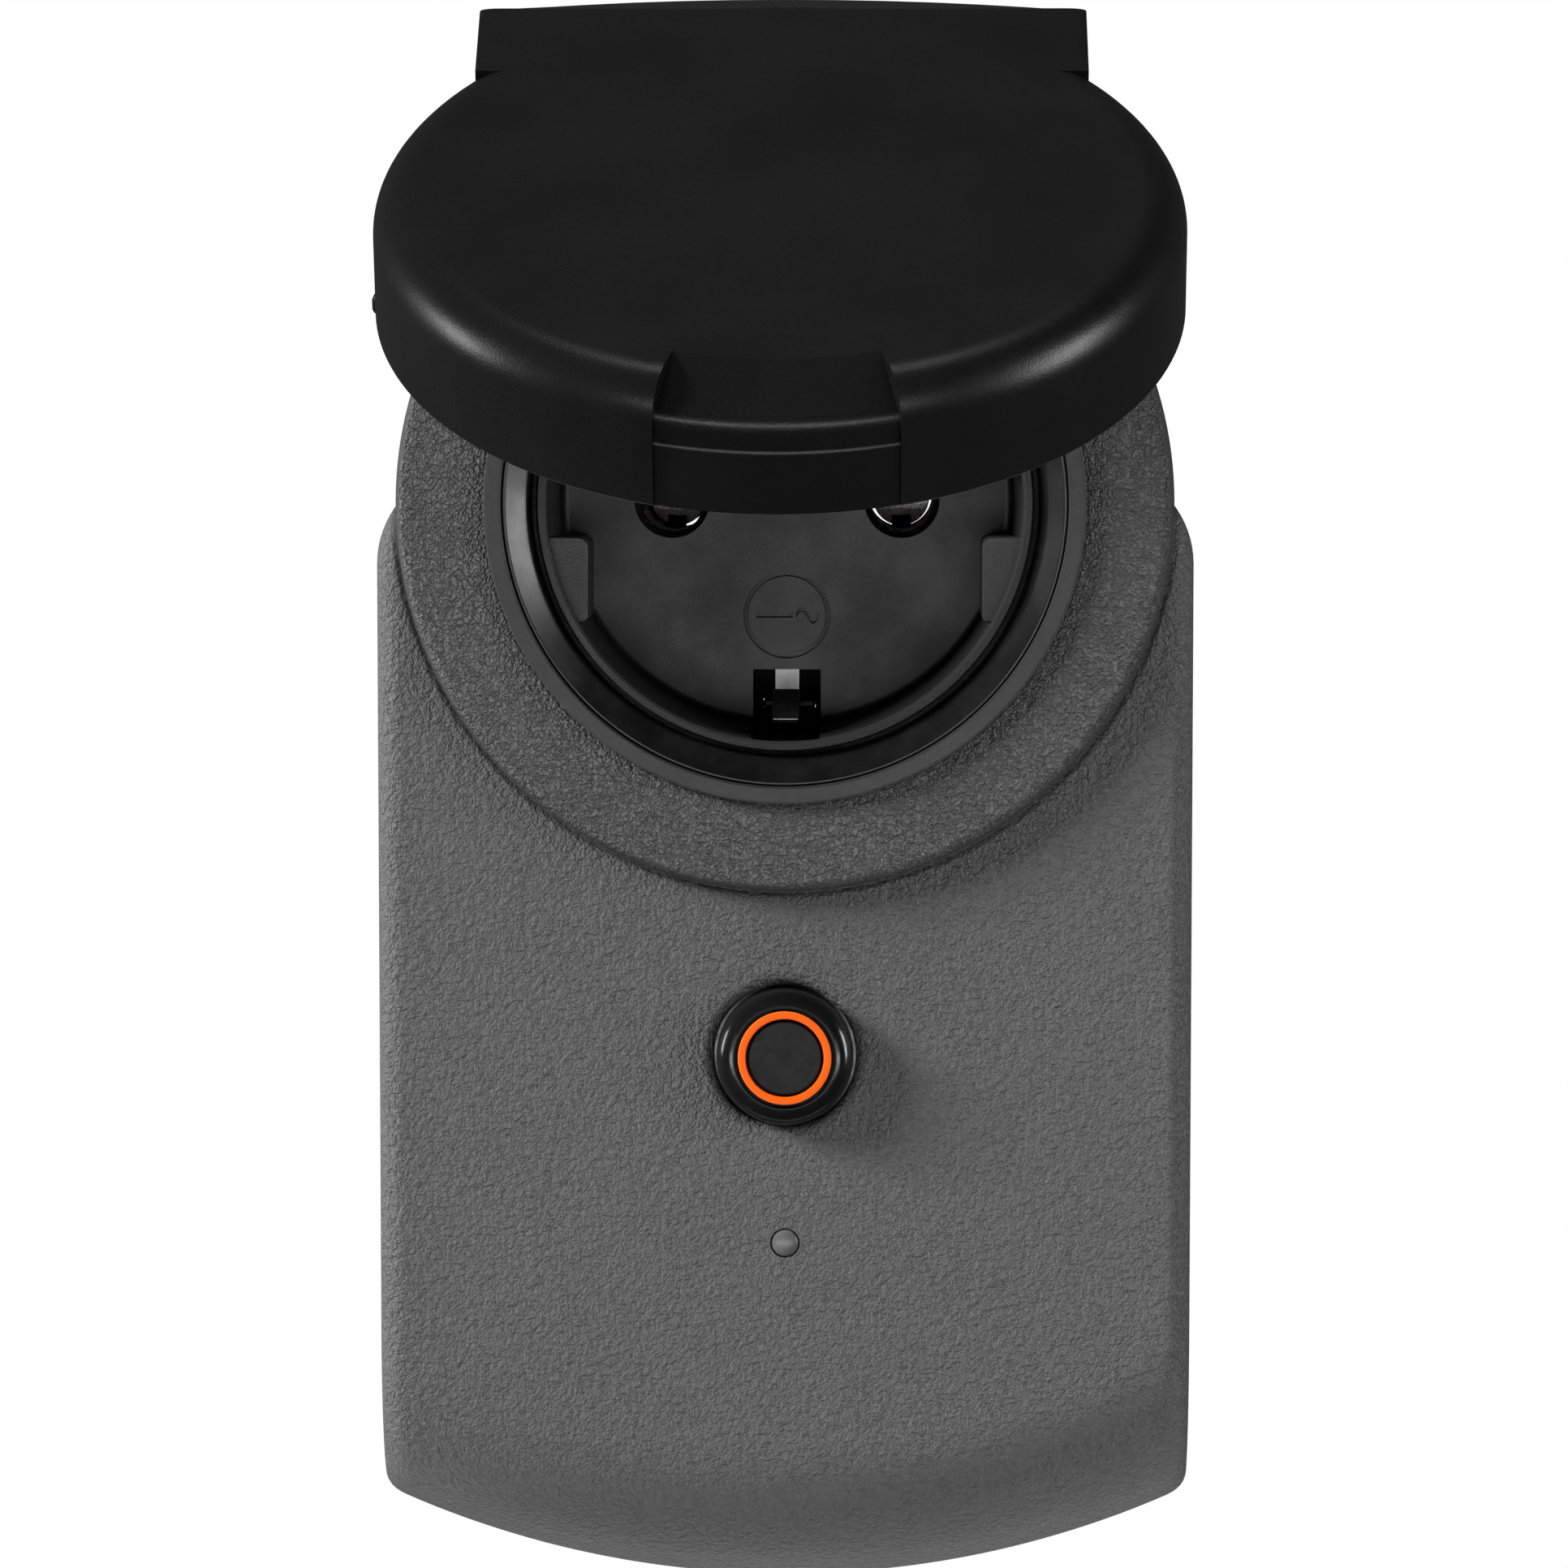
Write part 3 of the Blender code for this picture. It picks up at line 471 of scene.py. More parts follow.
def metal(name, colour, rough, streak=(1, 1, 1), size=0.5, depth=0.003):
    paint = Paint(name, 0.3, metallic=1.0)
    lines = paint.noise(size, 4.0, paint.stretched(streak), 0.65)
    patches = paint.noise(2.6, 4.0, roughness=0.6)
    darker = tuple(value * 0.72 for value in colour)
    paint.into("Base Color", paint.mix(paint.span(lines * 0.6 + patches * 0.4, 0.3, 0.7), darker, colour))
    paint.into("Roughness", paint.span(patches * 0.5 + lines * 0.5, 0.3, 0.7, *rough))
    paint.into("Normal", paint.raised(lines, depth))
    return paint.material


def moulded(name, colour, rough=(0.35, 0.5), size=0.3, depth=0.01, bands=None):
    # plain moulded or wound pieces inside; bands give a coil's turns
    paint = Paint(name, 0.4)
    fine = paint.noise(size, 3.0)
    patches = paint.noise(4.0, 4.0, roughness=0.6)
    height = fine
    if bands:
        wave = {"wave_type": "BANDS", "bands_direction": bands[0]}
        turns = paint.node("TexWave", wave, {"Vector": paint.place, "Scale": bands[1], "Distortion": 0.3})
        height = turns * 3.0 + fine
    darker = tuple(value * 0.7 for value in colour)
    paint.into("Base Color", paint.mix(paint.span(patches * 0.6 + height * 0.2, 0.2, 0.8), darker, colour))
    paint.into("Roughness", paint.span(patches, 0.3, 0.7, *rough))
    paint.into("Normal", paint.raised(height, depth))
    return paint.material


def boardGreen():
    # solder resist over copper tracks that run in squared lines
    paint = Paint("boardGreen", 0.3)
    cell = {"feature": "F1", "distance": "CHEBYCHEV"}
    tracks = paint.node("TexVoronoi", cell, {"Vector": paint.place, "Scale": 240.0})
    steps = paint.node("Math", {"operation": "PINGPONG"}, {0: tracks, 1: 0.06})
    lines = paint.span(steps, 0.02, 0.035)
    fine = paint.noise(0.5, 3.0)
    paint.into("Base Color", paint.mix(lines, (0.004, 0.05, 0.014), (0.012, 0.12, 0.03)))
    paint.into("Roughness", paint.span(fine, 0.3, 0.7, 0.22, 0.36))
    paint.into("Normal", paint.raised(lines + fine * 0.2, 0.03))
    return paint.material


paints = {
    "housing_grey": grainedGrey(),
    "lid_black": satinBlack(),
    "socket_black": socketBlack(),
    "gloss_black": buttonGloss(),
    "orange_ring": orangeInk(),
    "black_rubber": sealRubber(),
    "clear_lens": windowGrey(),
    # the contacts' brass is painted near black, standing in for the shade deep in the pin holes
    "contact_brass": metal("contactBrass", (0.09, 0.06, 0.026), (0.4, 0.55), (1, 6, 1)),
    "pin_nickel": metal("pinNickel", (0.66, 0.64, 0.6), (0.16, 0.3), (1, 0.15, 1)),
    "spring_steel": metal("springSteel", (0.3, 0.3, 0.3), (0.3, 0.42), (1, 1, 0.3)),
    "screw_steel": metal("screwSteel", (0.52, 0.52, 0.5), (0.25, 0.42)),
    "board_green": boardGreen(),
    "relay_black": moulded("relayBlack", (0.02, 0.02, 0.022)),
    "film_yellow": moulded("filmYellow", (0.5, 0.32, 0.03)),
    "coil_amber": moulded("coilAmber", (0.42, 0.2, 0.03), (0.3, 0.45), 0.4, 0.03, ("X", 330.0)),
    "can_aluminium": metal("canAluminium", (0.42, 0.43, 0.46), (0.25, 0.4), (1, 8, 1)),
    "varistor_blue": moulded("varistorBlue", (0.02, 0.1, 0.35), (0.2, 0.32)),
    "fuse_ceramic": moulded("fuseCeramic", (0.66, 0.65, 0.6), (0.3, 0.42)),
    "shield_tin": metal("shieldTin", (0.62, 0.62, 0.62), (0.2, 0.36)),
    "brown_insulation": moulded("brownInsulation", (0.12, 0.04, 0.012)),
    "blue_insulation": moulded("blueInsulation", (0.01, 0.05, 0.4)),
    "earth_insulation": moulded("earthInsulation", (0.1, 0.3, 0.02)),
}
slotOf = {row["node"]: row["material_slot"] for row in frame["record"]["subparts"]}
for node, obj in frame["nodes"].items():
    obj.data.materials.clear()
    obj.data.materials.append(paints[slotOf[node]])
print("paints made:", len(paints))


# Housing

housing = {
    "headR": rearHigh.z, "halfWidth": rearHigh.x, "shoulderR": 8.0, "shoulderUp": -5.0,
    "bottomUp": rearLow.z, "bottomR": 78.4, "cornerR": 2.6, "taper": 0.0085, "taperRun": 74.0,
    "parting": 0.15 - rearLow.y, "back": -rearHigh.y, "front": 62.0, "wall": 2.2, "edgeR": 2.0,
    "rollR": 12.0, "backEdgeR": 3.0, "collarR": 31.5, "collarOut": 63.5, "rimR": 24.35, "rimOut": 64.1,
    "boreR": 22.95, "fullInset": 2.3, "upperShare": 0.28, "plugHoleR": 18.6, "lightR": 1.2,
}
screwPost = {
    "places": ((-25.5, -14.0), (25.5, -14.0), (-25.5, -73.0), (25.5, -73.0)), "radius": 2.8,
    "foot": 36.3, "top": 60.5, "lowTop": 60.0, "boreR": 1.65, "wellR": 4.0, "headR": 3.0,
    "shankR": 1.75, "seat": 33.5,
}
boardPost = {
    "places": ((-18.5, -54.0), (18.5, -54.0)), "radius": 2.6, "foot": 51.9, "top": 60.5, "boreR": 1.4,
}
ear = {"near": 6.7, "far": 17.3, "radius": 2.4, "pinBoreR": 1.5}


def taperAt(up):
    return 1 - housing["taper"] * max(0, (housing["shoulderUp"] - up) / housing["taperRun"])


def outlineOf(by, fine=True):
    # the housing's outline, drawn in by a distance
    full = housing["fullInset"]
    upper = min(by, full) + max(by - full, 0) * housing["upperShare"]
    head, shoulder = housing["headR"] - upper, housing["shoulderR"] - upper
    place = Vector((housing["halfWidth"] - housing["shoulderR"], housing["shoulderUp"]))
    along = (head**2 - shoulder**2 + place.length_squared) / (2 * place.length)
    sideways = math.sqrt(head**2 - along**2)
    unit = place.normalized()
    meet = unit * along + Vector((-unit.y, unit.x)) * sideways
    meetAngle = math.degrees(math.atan2(meet.y, meet.x))
    shoulderAngle = math.degrees(math.atan2(meet.y - place.y, meet.x - place.x))
    half = arc((0, 0), head, 90, meetAngle, 40 if fine else 12)
    half += arc(place, shoulder, shoulderAngle, 0, 8 if fine else 3)[1:]
    corner, bottom = max(housing["cornerR"] - by, 0.2), housing["bottomR"] - by
    centreUp = housing["bottomUp"] + housing["bottomR"]
    cornerX = housing["halfWidth"] - by - corner
    cornerUp = centreUp - math.sqrt((bottom - corner) ** 2 - cornerX**2)
    stops = [0.25, 0.5, 0.7, 0.8, 0.85, 0.89, 0.92, 0.945, 0.965, 0.985] if fine else [0.5, 0.8, 0.9]
    run = cornerUp - housing["shoulderUp"]
    half += [(housing["halfWidth"] - by, housing["shoulderUp"] + run * part) for part in stops]
    sideAngle = math.degrees(math.atan2(cornerUp - centreUp, cornerX))
    half += arc((cornerX, cornerUp), corner, 0, sideAngle, 6 if fine else 2)
    half += arc((0, centreUp), bottom, sideAngle, -90, 24 if fine else 6)[1:]
    half = [(x * taperAt(up), up) for x, up in half]
    return half + [(-x, up) for x, up in half[-2:0:-1]]


def levelRing(by, out, fine=True):
    return [(x, up, out) for x, up in outlineOf(by, fine)]


def partingRings(side):
    # the small groove of the parting line; side is 1 on the front shell and -1 on the rear one
    steps = ((0.25, 0.15), (0.04, 0.25), (0, 0.5))
    return [levelRing(by, housing["parting"] + side * away) for by, away in steps]


def fallen(distance, radius):
    # how far a rounded edge has dropped at a distance in from the side
    short = radius - min(max(distance, 0), radius)
    return radius - math.sqrt(radius**2 - short**2)


def rolledRings(base, out, sideEdge, bottomEdge, insets, fine=True):
    # rings over a front edge that is rounded a little at the sides and far more at the bottom
    rings = []
    centreUp = housing["bottomUp"] + housing["bottomR"]
    for by in insets:
        ring = []
        for x, up in outlineOf(base + by, fine):
            aside = by
            if up < housing["shoulderUp"]:
                aside = housing["halfWidth"] * taperAt(up) - abs(x) - base
            below = housing["bottomR"] - base - math.hypot(x, up - centreUp)
            ring.append((x, up, out - fallen(aside, sideEdge) - fallen(below, bottomEdge)))
        rings.append(ring)
    return rings


def hingeEar(side):
    edge = arc((hingeOut, hingeUp), ear["radius"], -90, 180, 24)
    edge += [(hingeOut - ear["radius"], 33.7), (58.2, 31.6), (58.2, 24.8)]
    edge += [(63.2, 24.8), (63.2, 31.9), (hingeOut, 31.9)]
    low, high = sorted((side * ear["near"], side * ear["far"]))
    return sidePlate("ear", edge, low, high)


def across(name, radius, low, high, steps=48):
    # a round bar along x on the hinge's axis
    ring = arc((hingeOut, hingeUp), radius, 0, 360 - 360 / steps, steps - 1)
    return sidePlate(name, ring, low, high)


def collarRing():
    h = housing
    profile = arc((h["collarR"] - 0.9, h["collarOut"] - 0.9), 0.9, 90, 0, 7)
    profile += [(h["collarR"], 58.5), (26.0, 58.5), (25.0, 57.5), (25.0, 47.0), (h["boreR"], 47.0)]
    rim = [(h["boreR"], 47.5), (h["boreR"], h["rimOut"]), (h["rimR"], h["rimOut"])]
    rim += [(h["rimR"], h["collarOut"]), (h["collarR"] - 2, h["collarOut"])]
    return turned("collar", profile + soften(rim, 0.22, 4)[1:-1], steps=192, loop=True)


def postBodies():
    posts = []
    for place in screwPost["places"]:
        top = screwPost["top"] if place[1] > -50 else screwPost["lowTop"]
        posts.append(rod("post", screwPost["radius"], screwPost["foot"], top, place, 24))
    for place in boardPost["places"]:
        posts.append(rod("boardPost", boardPost["radius"], boardPost["foot"], boardPost["top"], place, 24))
    return posts


def frontCuts():
    # the way through the collar, the posts' bores, the button's dish, the indicator and the hinge pin
    cuts = [rod("collarRoom", housing["boreR"], 50, 70, steps=192)]
    cuts += [rod("postBore", screwPost["boreR"], 30, 50.5, place, 16) for place in screwPost["places"]]
    cuts += [rod("boardBore", boardPost["boreR"], 50, 58, place, 16) for place in boardPost["places"]]
    dish = [(0, 66), (7.0, 66), (7.0, 62.02), (6.4, 61.95), (6.05, 61.8), (5.85, 61.55)]
    dish += [(5.78, 61.2), (5.78, 57), (0, 57)]
    cuts.append(turned("dish", dish, (buttonMiddle.x, buttonMiddle.z), 96))
    cuts.append(rod("lightBore", housing["lightR"], 57, 64, (lightMiddle.x, lightMiddle.z), 48))
    return cuts + [across("pinBore", ear["pinBoreR"], -30, 30, 24)]


def frontShell():
    h = housing
    insets = [h["edgeR"] * (1 - math.cos(math.radians(15 * step))) for step in range(7)]
    insets += [2.7, 3.5, 4.4, 5.4, 6.6, 7.9, 9.2, 10.6, h["rollR"]]
    rings = rolledRings(0, h["front"], h["edgeR"], h["rollR"], insets)
    shell = skin("frontShell", partingRings(1) + rings)
    inner = (0, 0.6, 2.4, 5.4, 9.8)
    cavity = [levelRing(h["wall"], h["parting"] - 1, False)]
    cavity += rolledRings(h["wall"], h["front"] - 2.5, 0.6, h["rollR"] - h["wall"], inner, False)
    hollow = carve(shell, [skin("cavity", cavity), rod("room", 27.0, 50, 70)])
    return carve(hollow, frontCuts(), [collarRing(), hingeEar(-1), hingeEar(1), *postBodies()])


def rearShell():
    h = housing
    edge, back = h["backEdgeR"], h["back"]
    rings = partingRings(-1)
    for step in range(9):
        turn = math.radians(90 * step / 8)
        rings.append(levelRing(edge * (1 - math.cos(turn)), back + edge * (1 - math.sin(turn))))
    floor = back + h["wall"]
    cavity = [levelRing(h["wall"], h["parting"] + 1, False), levelRing(h["wall"], floor + 1.5, False)]
    cavity.append(levelRing(h["wall"] + 1.5, floor, False))
    seat, headR = screwPost["seat"], screwPost["headR"]
    mouth = [(0, seat), (headR, seat), (headR, back + 0.35), (headR + 0.4, back - 0.05)]
    mouth += [(headR + 0.4, 10), (0, 10)]
    wells, bores = [], []
    for place in screwPost["places"]:
        wells.append(rod("well", screwPost["wellR"], back + 1, 36, place, 32))
        bores.append(turned("headBore", mouth, place, 40))
        bores.append(rod("shankBore", screwPost["shankR"], 32, 40, place, 20))
    holeR = h["plugHoleR"]
    plugHole = [(0, 25), (holeR, 25), (holeR, back + 0.3), (holeR + 0.35, back - 0.05)]
    plugHole += [(holeR + 0.35, 10), (0, 10)]
    hollow = carve(skin("rearShell", rings), [skin("rearCavity", cavity)])
    return carve(hollow, bores + [turned("plugHole", plugHole, steps=144)], wells)


addPiece("frontShell", frontShell(), "housing", "housing_grey", "front_housing", 30)
addPiece("rearShell", rearShell(), "housing", "housing_grey", "rear_housing", 30)
print("housing made")


# Socket

socket = {
    "floor": 45.2, "floorR": 18.7, "mouthR": 19.3, "lipOut": 62.6, "outerR": 20.2, "snapR": 22.6,
    "flangeR": 24.2, "back": 43.2, "guideX": 16.0, "guideUp": (2.8, 9.7), "guideOut": 61.2,
    "pinX": 9.5, "holeR": 2.7, "notchHalf": 2.8, "notchUp": (14.0, 19.45),
}
mark = {"up": -9.5, "radius": 3.4, "depth": 0.8, "stroke": 0.22, "waveHeight": 0.5}
seal = {"inner": 20.6, "outer": 22.9, "low": 57.5, "lip": 61.95, "top": 63.45}
bow = {"halfWidth": 1.1, "thickness": 0.6}


def guideBlocks():
    low, high = socket["guideUp"]
    outer = arc((0, 0), 19.7, 8.1, 29.6, 10)
    inner = soften([outer[-1], (socket["guideX"], high), (socket["guideX"], low), outer[0]], 0.9, 5)
    blocks = []
    for side in (1, -1):
        for tilt in (1, -1):
            edge = [(side * x, tilt * up) for x, up in outer[1:-1] + inner]
            blocks.append(plate("guide", edge, socket["floor"] - 1, socket["guideOut"], 0.15))
    return blocks


def markCuts():
    # grooves in the socket's floor: a ring round a plain bar and a wave
    low, high = socket["floor"] - mark["depth"], socket["floor"] + 0.5
    radius, wide = mark["radius"], mark["stroke"]
    ring = [(radius - 0.17, low), (radius + 0.17, low), (radius + wide, high), (radius - wide, high)]
    bar = [(-2.5, -wide), (0.5, -wide), (0.5, wide), (-2.5, wide)]
    turns = [2 * math.pi * step / 16 for step in range(17)]
    line = [(0.75 + 1.9 * step / 16, mark["waveHeight"] * math.sin(turns[step])) for step in range(17)]
    wave = [(x, up + 0.23) for x, up in line] + [(x, up - 0.23) for x, up in line[::-1]]
    strokes = [plate("markBar", bar, low, high), plate("markWave", wave, low, high)]
    for stroke in strokes:
        stroke.transform(Matrix.Translation(at(0, mark["up"], 0)))
    return [turned("markRing", ring, (0, mark["up"]), 72, loop=True), *strokes]


def floorCuts():
    # the earth notches and the pin holes
    floor, holeR, half = socket["floor"], socket["holeR"], socket["notchHalf"]
    hole = [(0, 47), (holeR + 0.45, 47), (holeR + 0.45, floor + 0.02), (holeR, floor - 0.45)]
    hole += [(holeR, 42), (0, 42)]
    cuts = []
    for side in (-1, 1):
        low, high = sorted(side * up for up in socket["notchUp"])
        cuts.append(box("notch", (-half, low, 42), (half, high, 61.8)))
        cuts.append(turned("pinHole", hole, (side * socket["pinX"], 0), 64))
    return cuts


def socketInsert():
    s = socket
    profile = soften([(0, s["floor"]), (s["floorR"], s["floor"]), (s["mouthR"], s["lipOut"])], 0.7, 4)[:-1]
    profile += [(s["mouthR"] + 0.06, s["lipOut"] - 0.08), (s["mouthR"] + 0.25, s["lipOut"])]
    profile += [(s["outerR"] - 0.2, s["lipOut"] - 0.1), (s["outerR"], 61.9), (s["outerR"], 57.1)]
    profile += [(s["snapR"], 57.1), (s["snapR"], 55.8), (s["outerR"], 55.8), (s["outerR"], 46.6)]
    profile += [(s["flangeR"], 46.6), (s["flangeR"], s["back"]), (0, s["back"])]
    body = turned("socketInsert", profile, steps=192)
    return carve(body, markCuts() + floorCuts(), guideBlocks())


def socketSeal():
    # a soft lip with a plain slope up to the rim
    slope = [(seal["inner"], seal["low"]), (seal["inner"], seal["lip"]), (seal["outer"] - 0.25, seal["top"])]
    slope += [(seal["outer"], seal["top"] - 0.05), (seal["outer"], seal["low"])]
    return turned("socketSeal", soften(slope, 0.3, 4, loop=True), steps=192, loop=True)


def ribbon(line, thickness):
    # a flat outline on both sides of a line
    left, right = [], []
    for index, point in enumerate(line):
        before, after = Vector(line[max(index - 1, 0)]), Vector(line[min(index + 1, len(line) - 1)])
        run = (after - before).normalized() * thickness / 2
        left.append((point[0] - run.y, point[1] + run.x))
        right.append((point[0] + run.y, point[1] - run.x))
    return left + right[::-1]


def smoothLine(stops, count):
    # a smooth curve through the stops
    ends = [stops[0], *stops, stops[-1]]
    line = []
    for spans in zip(ends, ends[1:], ends[2:], ends[3:]):
        for step in range(count):
            t = step / count
            point = []
            for a, b, c, d in zip(*spans):
                bend = 2 * a - 5 * b + 4 * c - d + t * (3 * (b - c) + d - a)
                point.append(b + 0.5 * t * (c - a + t * bend))
            line.append(tuple(point))
    return line + [tuple(stops[-1])]


def earthBow():
    # one sprung strip behind the floor, with a rounded tongue up through each notch
    half = [(57.2, -17.9), (56.4, -16.8), (54.6, -15.7), (52.5, -15.9), (47, -17.0), (43, -17.3)]
    half += [(41.9, -16.9), (41.6, -15.8)]
    stops = half + [(out, -up) for out, up in reversed(half)]
    outline = ribbon(smoothLine(stops, 5), bow["thickness"])
    return sidePlate("earthBow", outline, -bow["halfWidth"], bow["halfWidth"])


addPiece("socketInsert", socketInsert(), "housing", "socket_black", "socket_insert", 28)
addPiece("socketSeal", socketSeal(), "housing", "black_rubber", "socket_seal", 50)
addPiece("earthBow", earthBow(), "housing", "spring_steel", "earth_bow", 40, 0.12)
print("socket made")


# Button, its ring and the indicator window

button = {
    "radius": 5.55, "out": 64.3, "edge": 1.5, "centreR": 2.93, "grooveR": 4.17, "grooveOut": 62.9,
    "skirt": 59.1, "footR": 6.8,
}
ring = {"outer": 3.78, "inner": 3.17, "low": 63.2, "high": 64.33}
window = {"radius": 1.15, "top": 62.18, "flangeR": 2.2, "flange": (58.0, 59.2), "foot": 53.6}


def buttonCap():
    out, radius, edge = button["out"], button["radius"], button["edge"]
    centre = [(0, out - 0.02), (button["centreR"], out - 0.04), (button["centreR"], button["grooveOut"])]
    centre += [(button["grooveR"], button["grooveOut"]), (button["grooveR"], out - 0.02)]
    shoulder = arc((radius - edge, out - edge), edge, 88, 0, 12)
    foot = [(radius, button["skirt"]), (button["footR"], button["skirt"]), (button["footR"], 58.0)]
    foot += [(1.5, 58.0), (1.5, 56.5), (0, 56.5)]
    profile = soften(centre, 0.1, 3) + shoulder + foot
    return turned("buttonCap", profile, (buttonMiddle.x, buttonMiddle.z), 128)


def buttonRing():
    edge = [(ring["inner"], ring["low"]), (ring["inner"], ring["high"])]
    edge += [(ring["outer"], ring["high"]), (ring["outer"], ring["low"])]
    edge = soften(edge, 0.07, 3, loop=True)[::-1]
    return turned("buttonRing", edge, (buttonMiddle.x, buttonMiddle.z), 128, loop=True)


def indicatorWindow():
    radius, top, flangeR = window["radius"], window["top"], window["flangeR"]
    low, high = window["flange"]
    profile = [(0, top), (0.4, top - 0.02), (0.75, top - 0.08), (0.98, top - 0.18), (1.1, top - 0.3)]
    profile += [(radius, top - 0.48), (radius, high), (flangeR, high), (flangeR, low), (1.0, low)]
    profile += [(0.9, window["foot"]), (0, window["foot"])]
    return turned("indicatorWindow", profile, (lightMiddle.x, lightMiddle.z), 64)


addPiece("buttonCap", buttonCap(), "button", "gloss_black", "button_cap")
addPiece("buttonRing", buttonRing(), "button", "orange_ring", "button_ring")
addPiece("indicatorWindow", indicatorWindow(), "housing", "clear_lens", "light_pipe")
print("controls made")


# Lid, drawn shut and then swung open about its pin

lid = {
    "radius": 31.25, "base": 63.8, "depth": 10.6, "edgeR": 3.65, "wall": 1.8, "wrapR": 4.14,
    "tongueHalf": 24.0, "tongueArch": 0.76, "archHalf": 21.6, "tongueCorner": 1.5, "slopeAngle": 25.5,
    "tabHalf": 9.25, "lipDepth": 3.15, "ledgeDepth": 5.2, "boreR": 1.5, "nib": (-30.98, -1.2),
}
lidFace = lid["base"] + lid["depth"]
lidSwing = Matrix.Translation(at(0, hingeUp, hingeOut)) @ Matrix.Rotation(-lidOpen, 4, "X")
lidSwing = lidSwing @ Matrix.Translation(-at(0, hingeUp, hingeOut))
pin = {"radius": 1.2, "from": -23.1, "to": 23.7, "chamfer": 0.2}


def tongueBody():
    half, corner = lid["tongueHalf"], lid["tongueCorner"]
    stops = [0, 4, 8, 12, 16, 19, 21, 22.5, 22.9, 23.3, 23.6, 23.85, half]
    rings = []
    for x in [-stop for stop in stops[:0:-1]] + stops:
        past = max(abs(x) - (half - corner), 0)
        drop = corner - math.sqrt(max(corner**2 - past**2, 0))
        radius = lid["wrapR"] - lid["tongueArch"] * (x / lid["archHalf"]) ** 2 - drop
        top = lidFace - drop * 0.15
        section = [(lidFace - 0.02, 18), (top - 0.02, 27.9), (top - 0.12, 28.35), (top - 0.3, 28.75)]
        section += arc((hingeOut, hingeUp), radius, lid["slopeAngle"], 270, 36)
        section += [(64.5, 31.6), (64.5, 30.0), (69, 18)]
        rings.append([(x, up, out) for out, up in section])
    return skin("tongue", rings)


def tabCut():
    # what the finger tab takes off: a slope with a round lip, a narrow band and a flush wall below it
    lip, ledge = lidFace - lid["lipDepth"], lidFace - lid["ledgeDepth"]
    foot, top = lid["base"] - 1, lidFace + 0.86
    line = [(25.0, top), (26.2, lidFace), (30.1, lip + 0.6), (30.4, lip + 0.36), (30.62, lip + 0.08)]
    line += [(30.76, lip - 0.26), (30.82, lip - 0.66), (30.84, lip - 1.1)]
    line += [(30.84, ledge), (30.88, ledge - 0.05), (30.95, ledge - 0.17), (30.99, ledge - 0.3)]
    line += [(31.0, ledge - 0.45), (31.0, foot), (33, foot), (33, top)]
    spread = math.degrees(math.asin(lid["tabHalf"] / lid["radius"]))
    rings = []
    for step in range(33):
        turn = math.radians(-90 - spread + 2 * spread * step / 32)
        rings.append([(radius * math.cos(turn), radius * math.sin(turn), out) for radius, out in line])
    return skin("tabCut", rings)


def lidCuts():
    # the hollow, a pocket for each hinge ear, the pin's bore and the tab
    base, inner = lid["base"], lid["radius"] - lid["wall"]
    room = [(0, lidFace - lid["wall"]), (26.4, lidFace - lid["wall"]), (inner, lidFace - 4.6)]
    room += [(inner, base + 0.3), (inner + 0.3, base - 0.02), (inner + 0.3, 58), (0, 58)]
    cuts = [turned("lidRoom", room, steps=144)]
    for side in (-1, 1):
        pocket = arc((hingeOut, hingeUp), ear["radius"] + 0.4, 90, -60, 18)
        pocket += [(hingeOut + 1.4, 31.55), (50, 31.55), (50, hingeUp + 6.5)]
        pocket.append((hingeOut - 1.6, hingeUp + 2.9))
        low, high = sorted((side * (ear["near"] - 0.4), side * (ear["far"] + 0.4)))
        cuts.append(sidePlate("earPocket", pocket, low, high))
    return cuts + [across("lidBore", lid["boreR"], -23.3, 25, 32), tabCut()]


def lidShell():
    base, radius, edge = lid["base"], lid["radius"], lid["edgeR"]
    profile = [(0, lidFace), (radius - edge - 1.5, lidFace)]
    profile += arc((radius - edge, lidFace - edge), edge, 90, 0, 14)
    profile += [(radius, base + 0.6), (radius, base + 0.18), (radius - 0.06, base + 0.05)]
    profile += [(radius - 0.2, base), (0, base)]
    nib = [(0, 65.4), (0.35, 65.3), (0.5, 64.9), (0.5, 64.1), (0.4, 63.85), (0, 63.84)]
    joins = [tongueBody(), turned("nib", nib, lid["nib"], 20)]
    made = carve(turned("lidShell", profile, steps=192), lidCuts(), joins)
    made.transform(lidSwing)
    return made


def lidSeal():
    edge = [(20.5, 72.2), (26.1, 72.2), (26.1, 71.0), (24.6, 71.0)]
    edge += [(24.6, 64.5), (22.8, 64.5), (22.8, 71.0), (20.5, 71.0)]
    made = turned("lidSeal", soften(edge, 0.3, 3, loop=True), steps=144, loop=True)
    made.transform(lidSwing)
    return made


def hingePin():
    radius, chamfer = pin["radius"], pin["chamfer"]
    ends = [(pin["from"], radius - chamfer), (pin["from"] + chamfer, radius)]
    ends += [(pin["to"] - chamfer, radius), (pin["to"], radius - chamfer)]
    rings = []
    for x, size in ends:
        rings.append([(x, up, out) for out, up in arc((hingeOut, hingeUp), size, 0, 345, 23)])
    return skin("hingePin", rings)


addPiece("lidShell", lidShell(), "lid", "lid_black", "lid_shell", 28)
addPiece("lidSeal", lidSeal(), "lid", "black_rubber", "lid_seal")
addPiece("hingePin", hingePin(), "housing", "screw_steel", "hinge_pin")
print("lid made")


# Plug at the back

plug = {
    "radius": 18.2, "flangeR": 20.0, "flange": (20.0, 22.2), "pinR": 2.4, "pinReach": 19.0, "pinX": 9.5,
    "guideX": 15.5, "guideUp": (2.5, 10.4), "guideEnd": 17.2,
}
strip = {"halfWidth": 2.2, "inner": 17.2, "outer": 17.95, "front": 1.2, "end": 23.3}


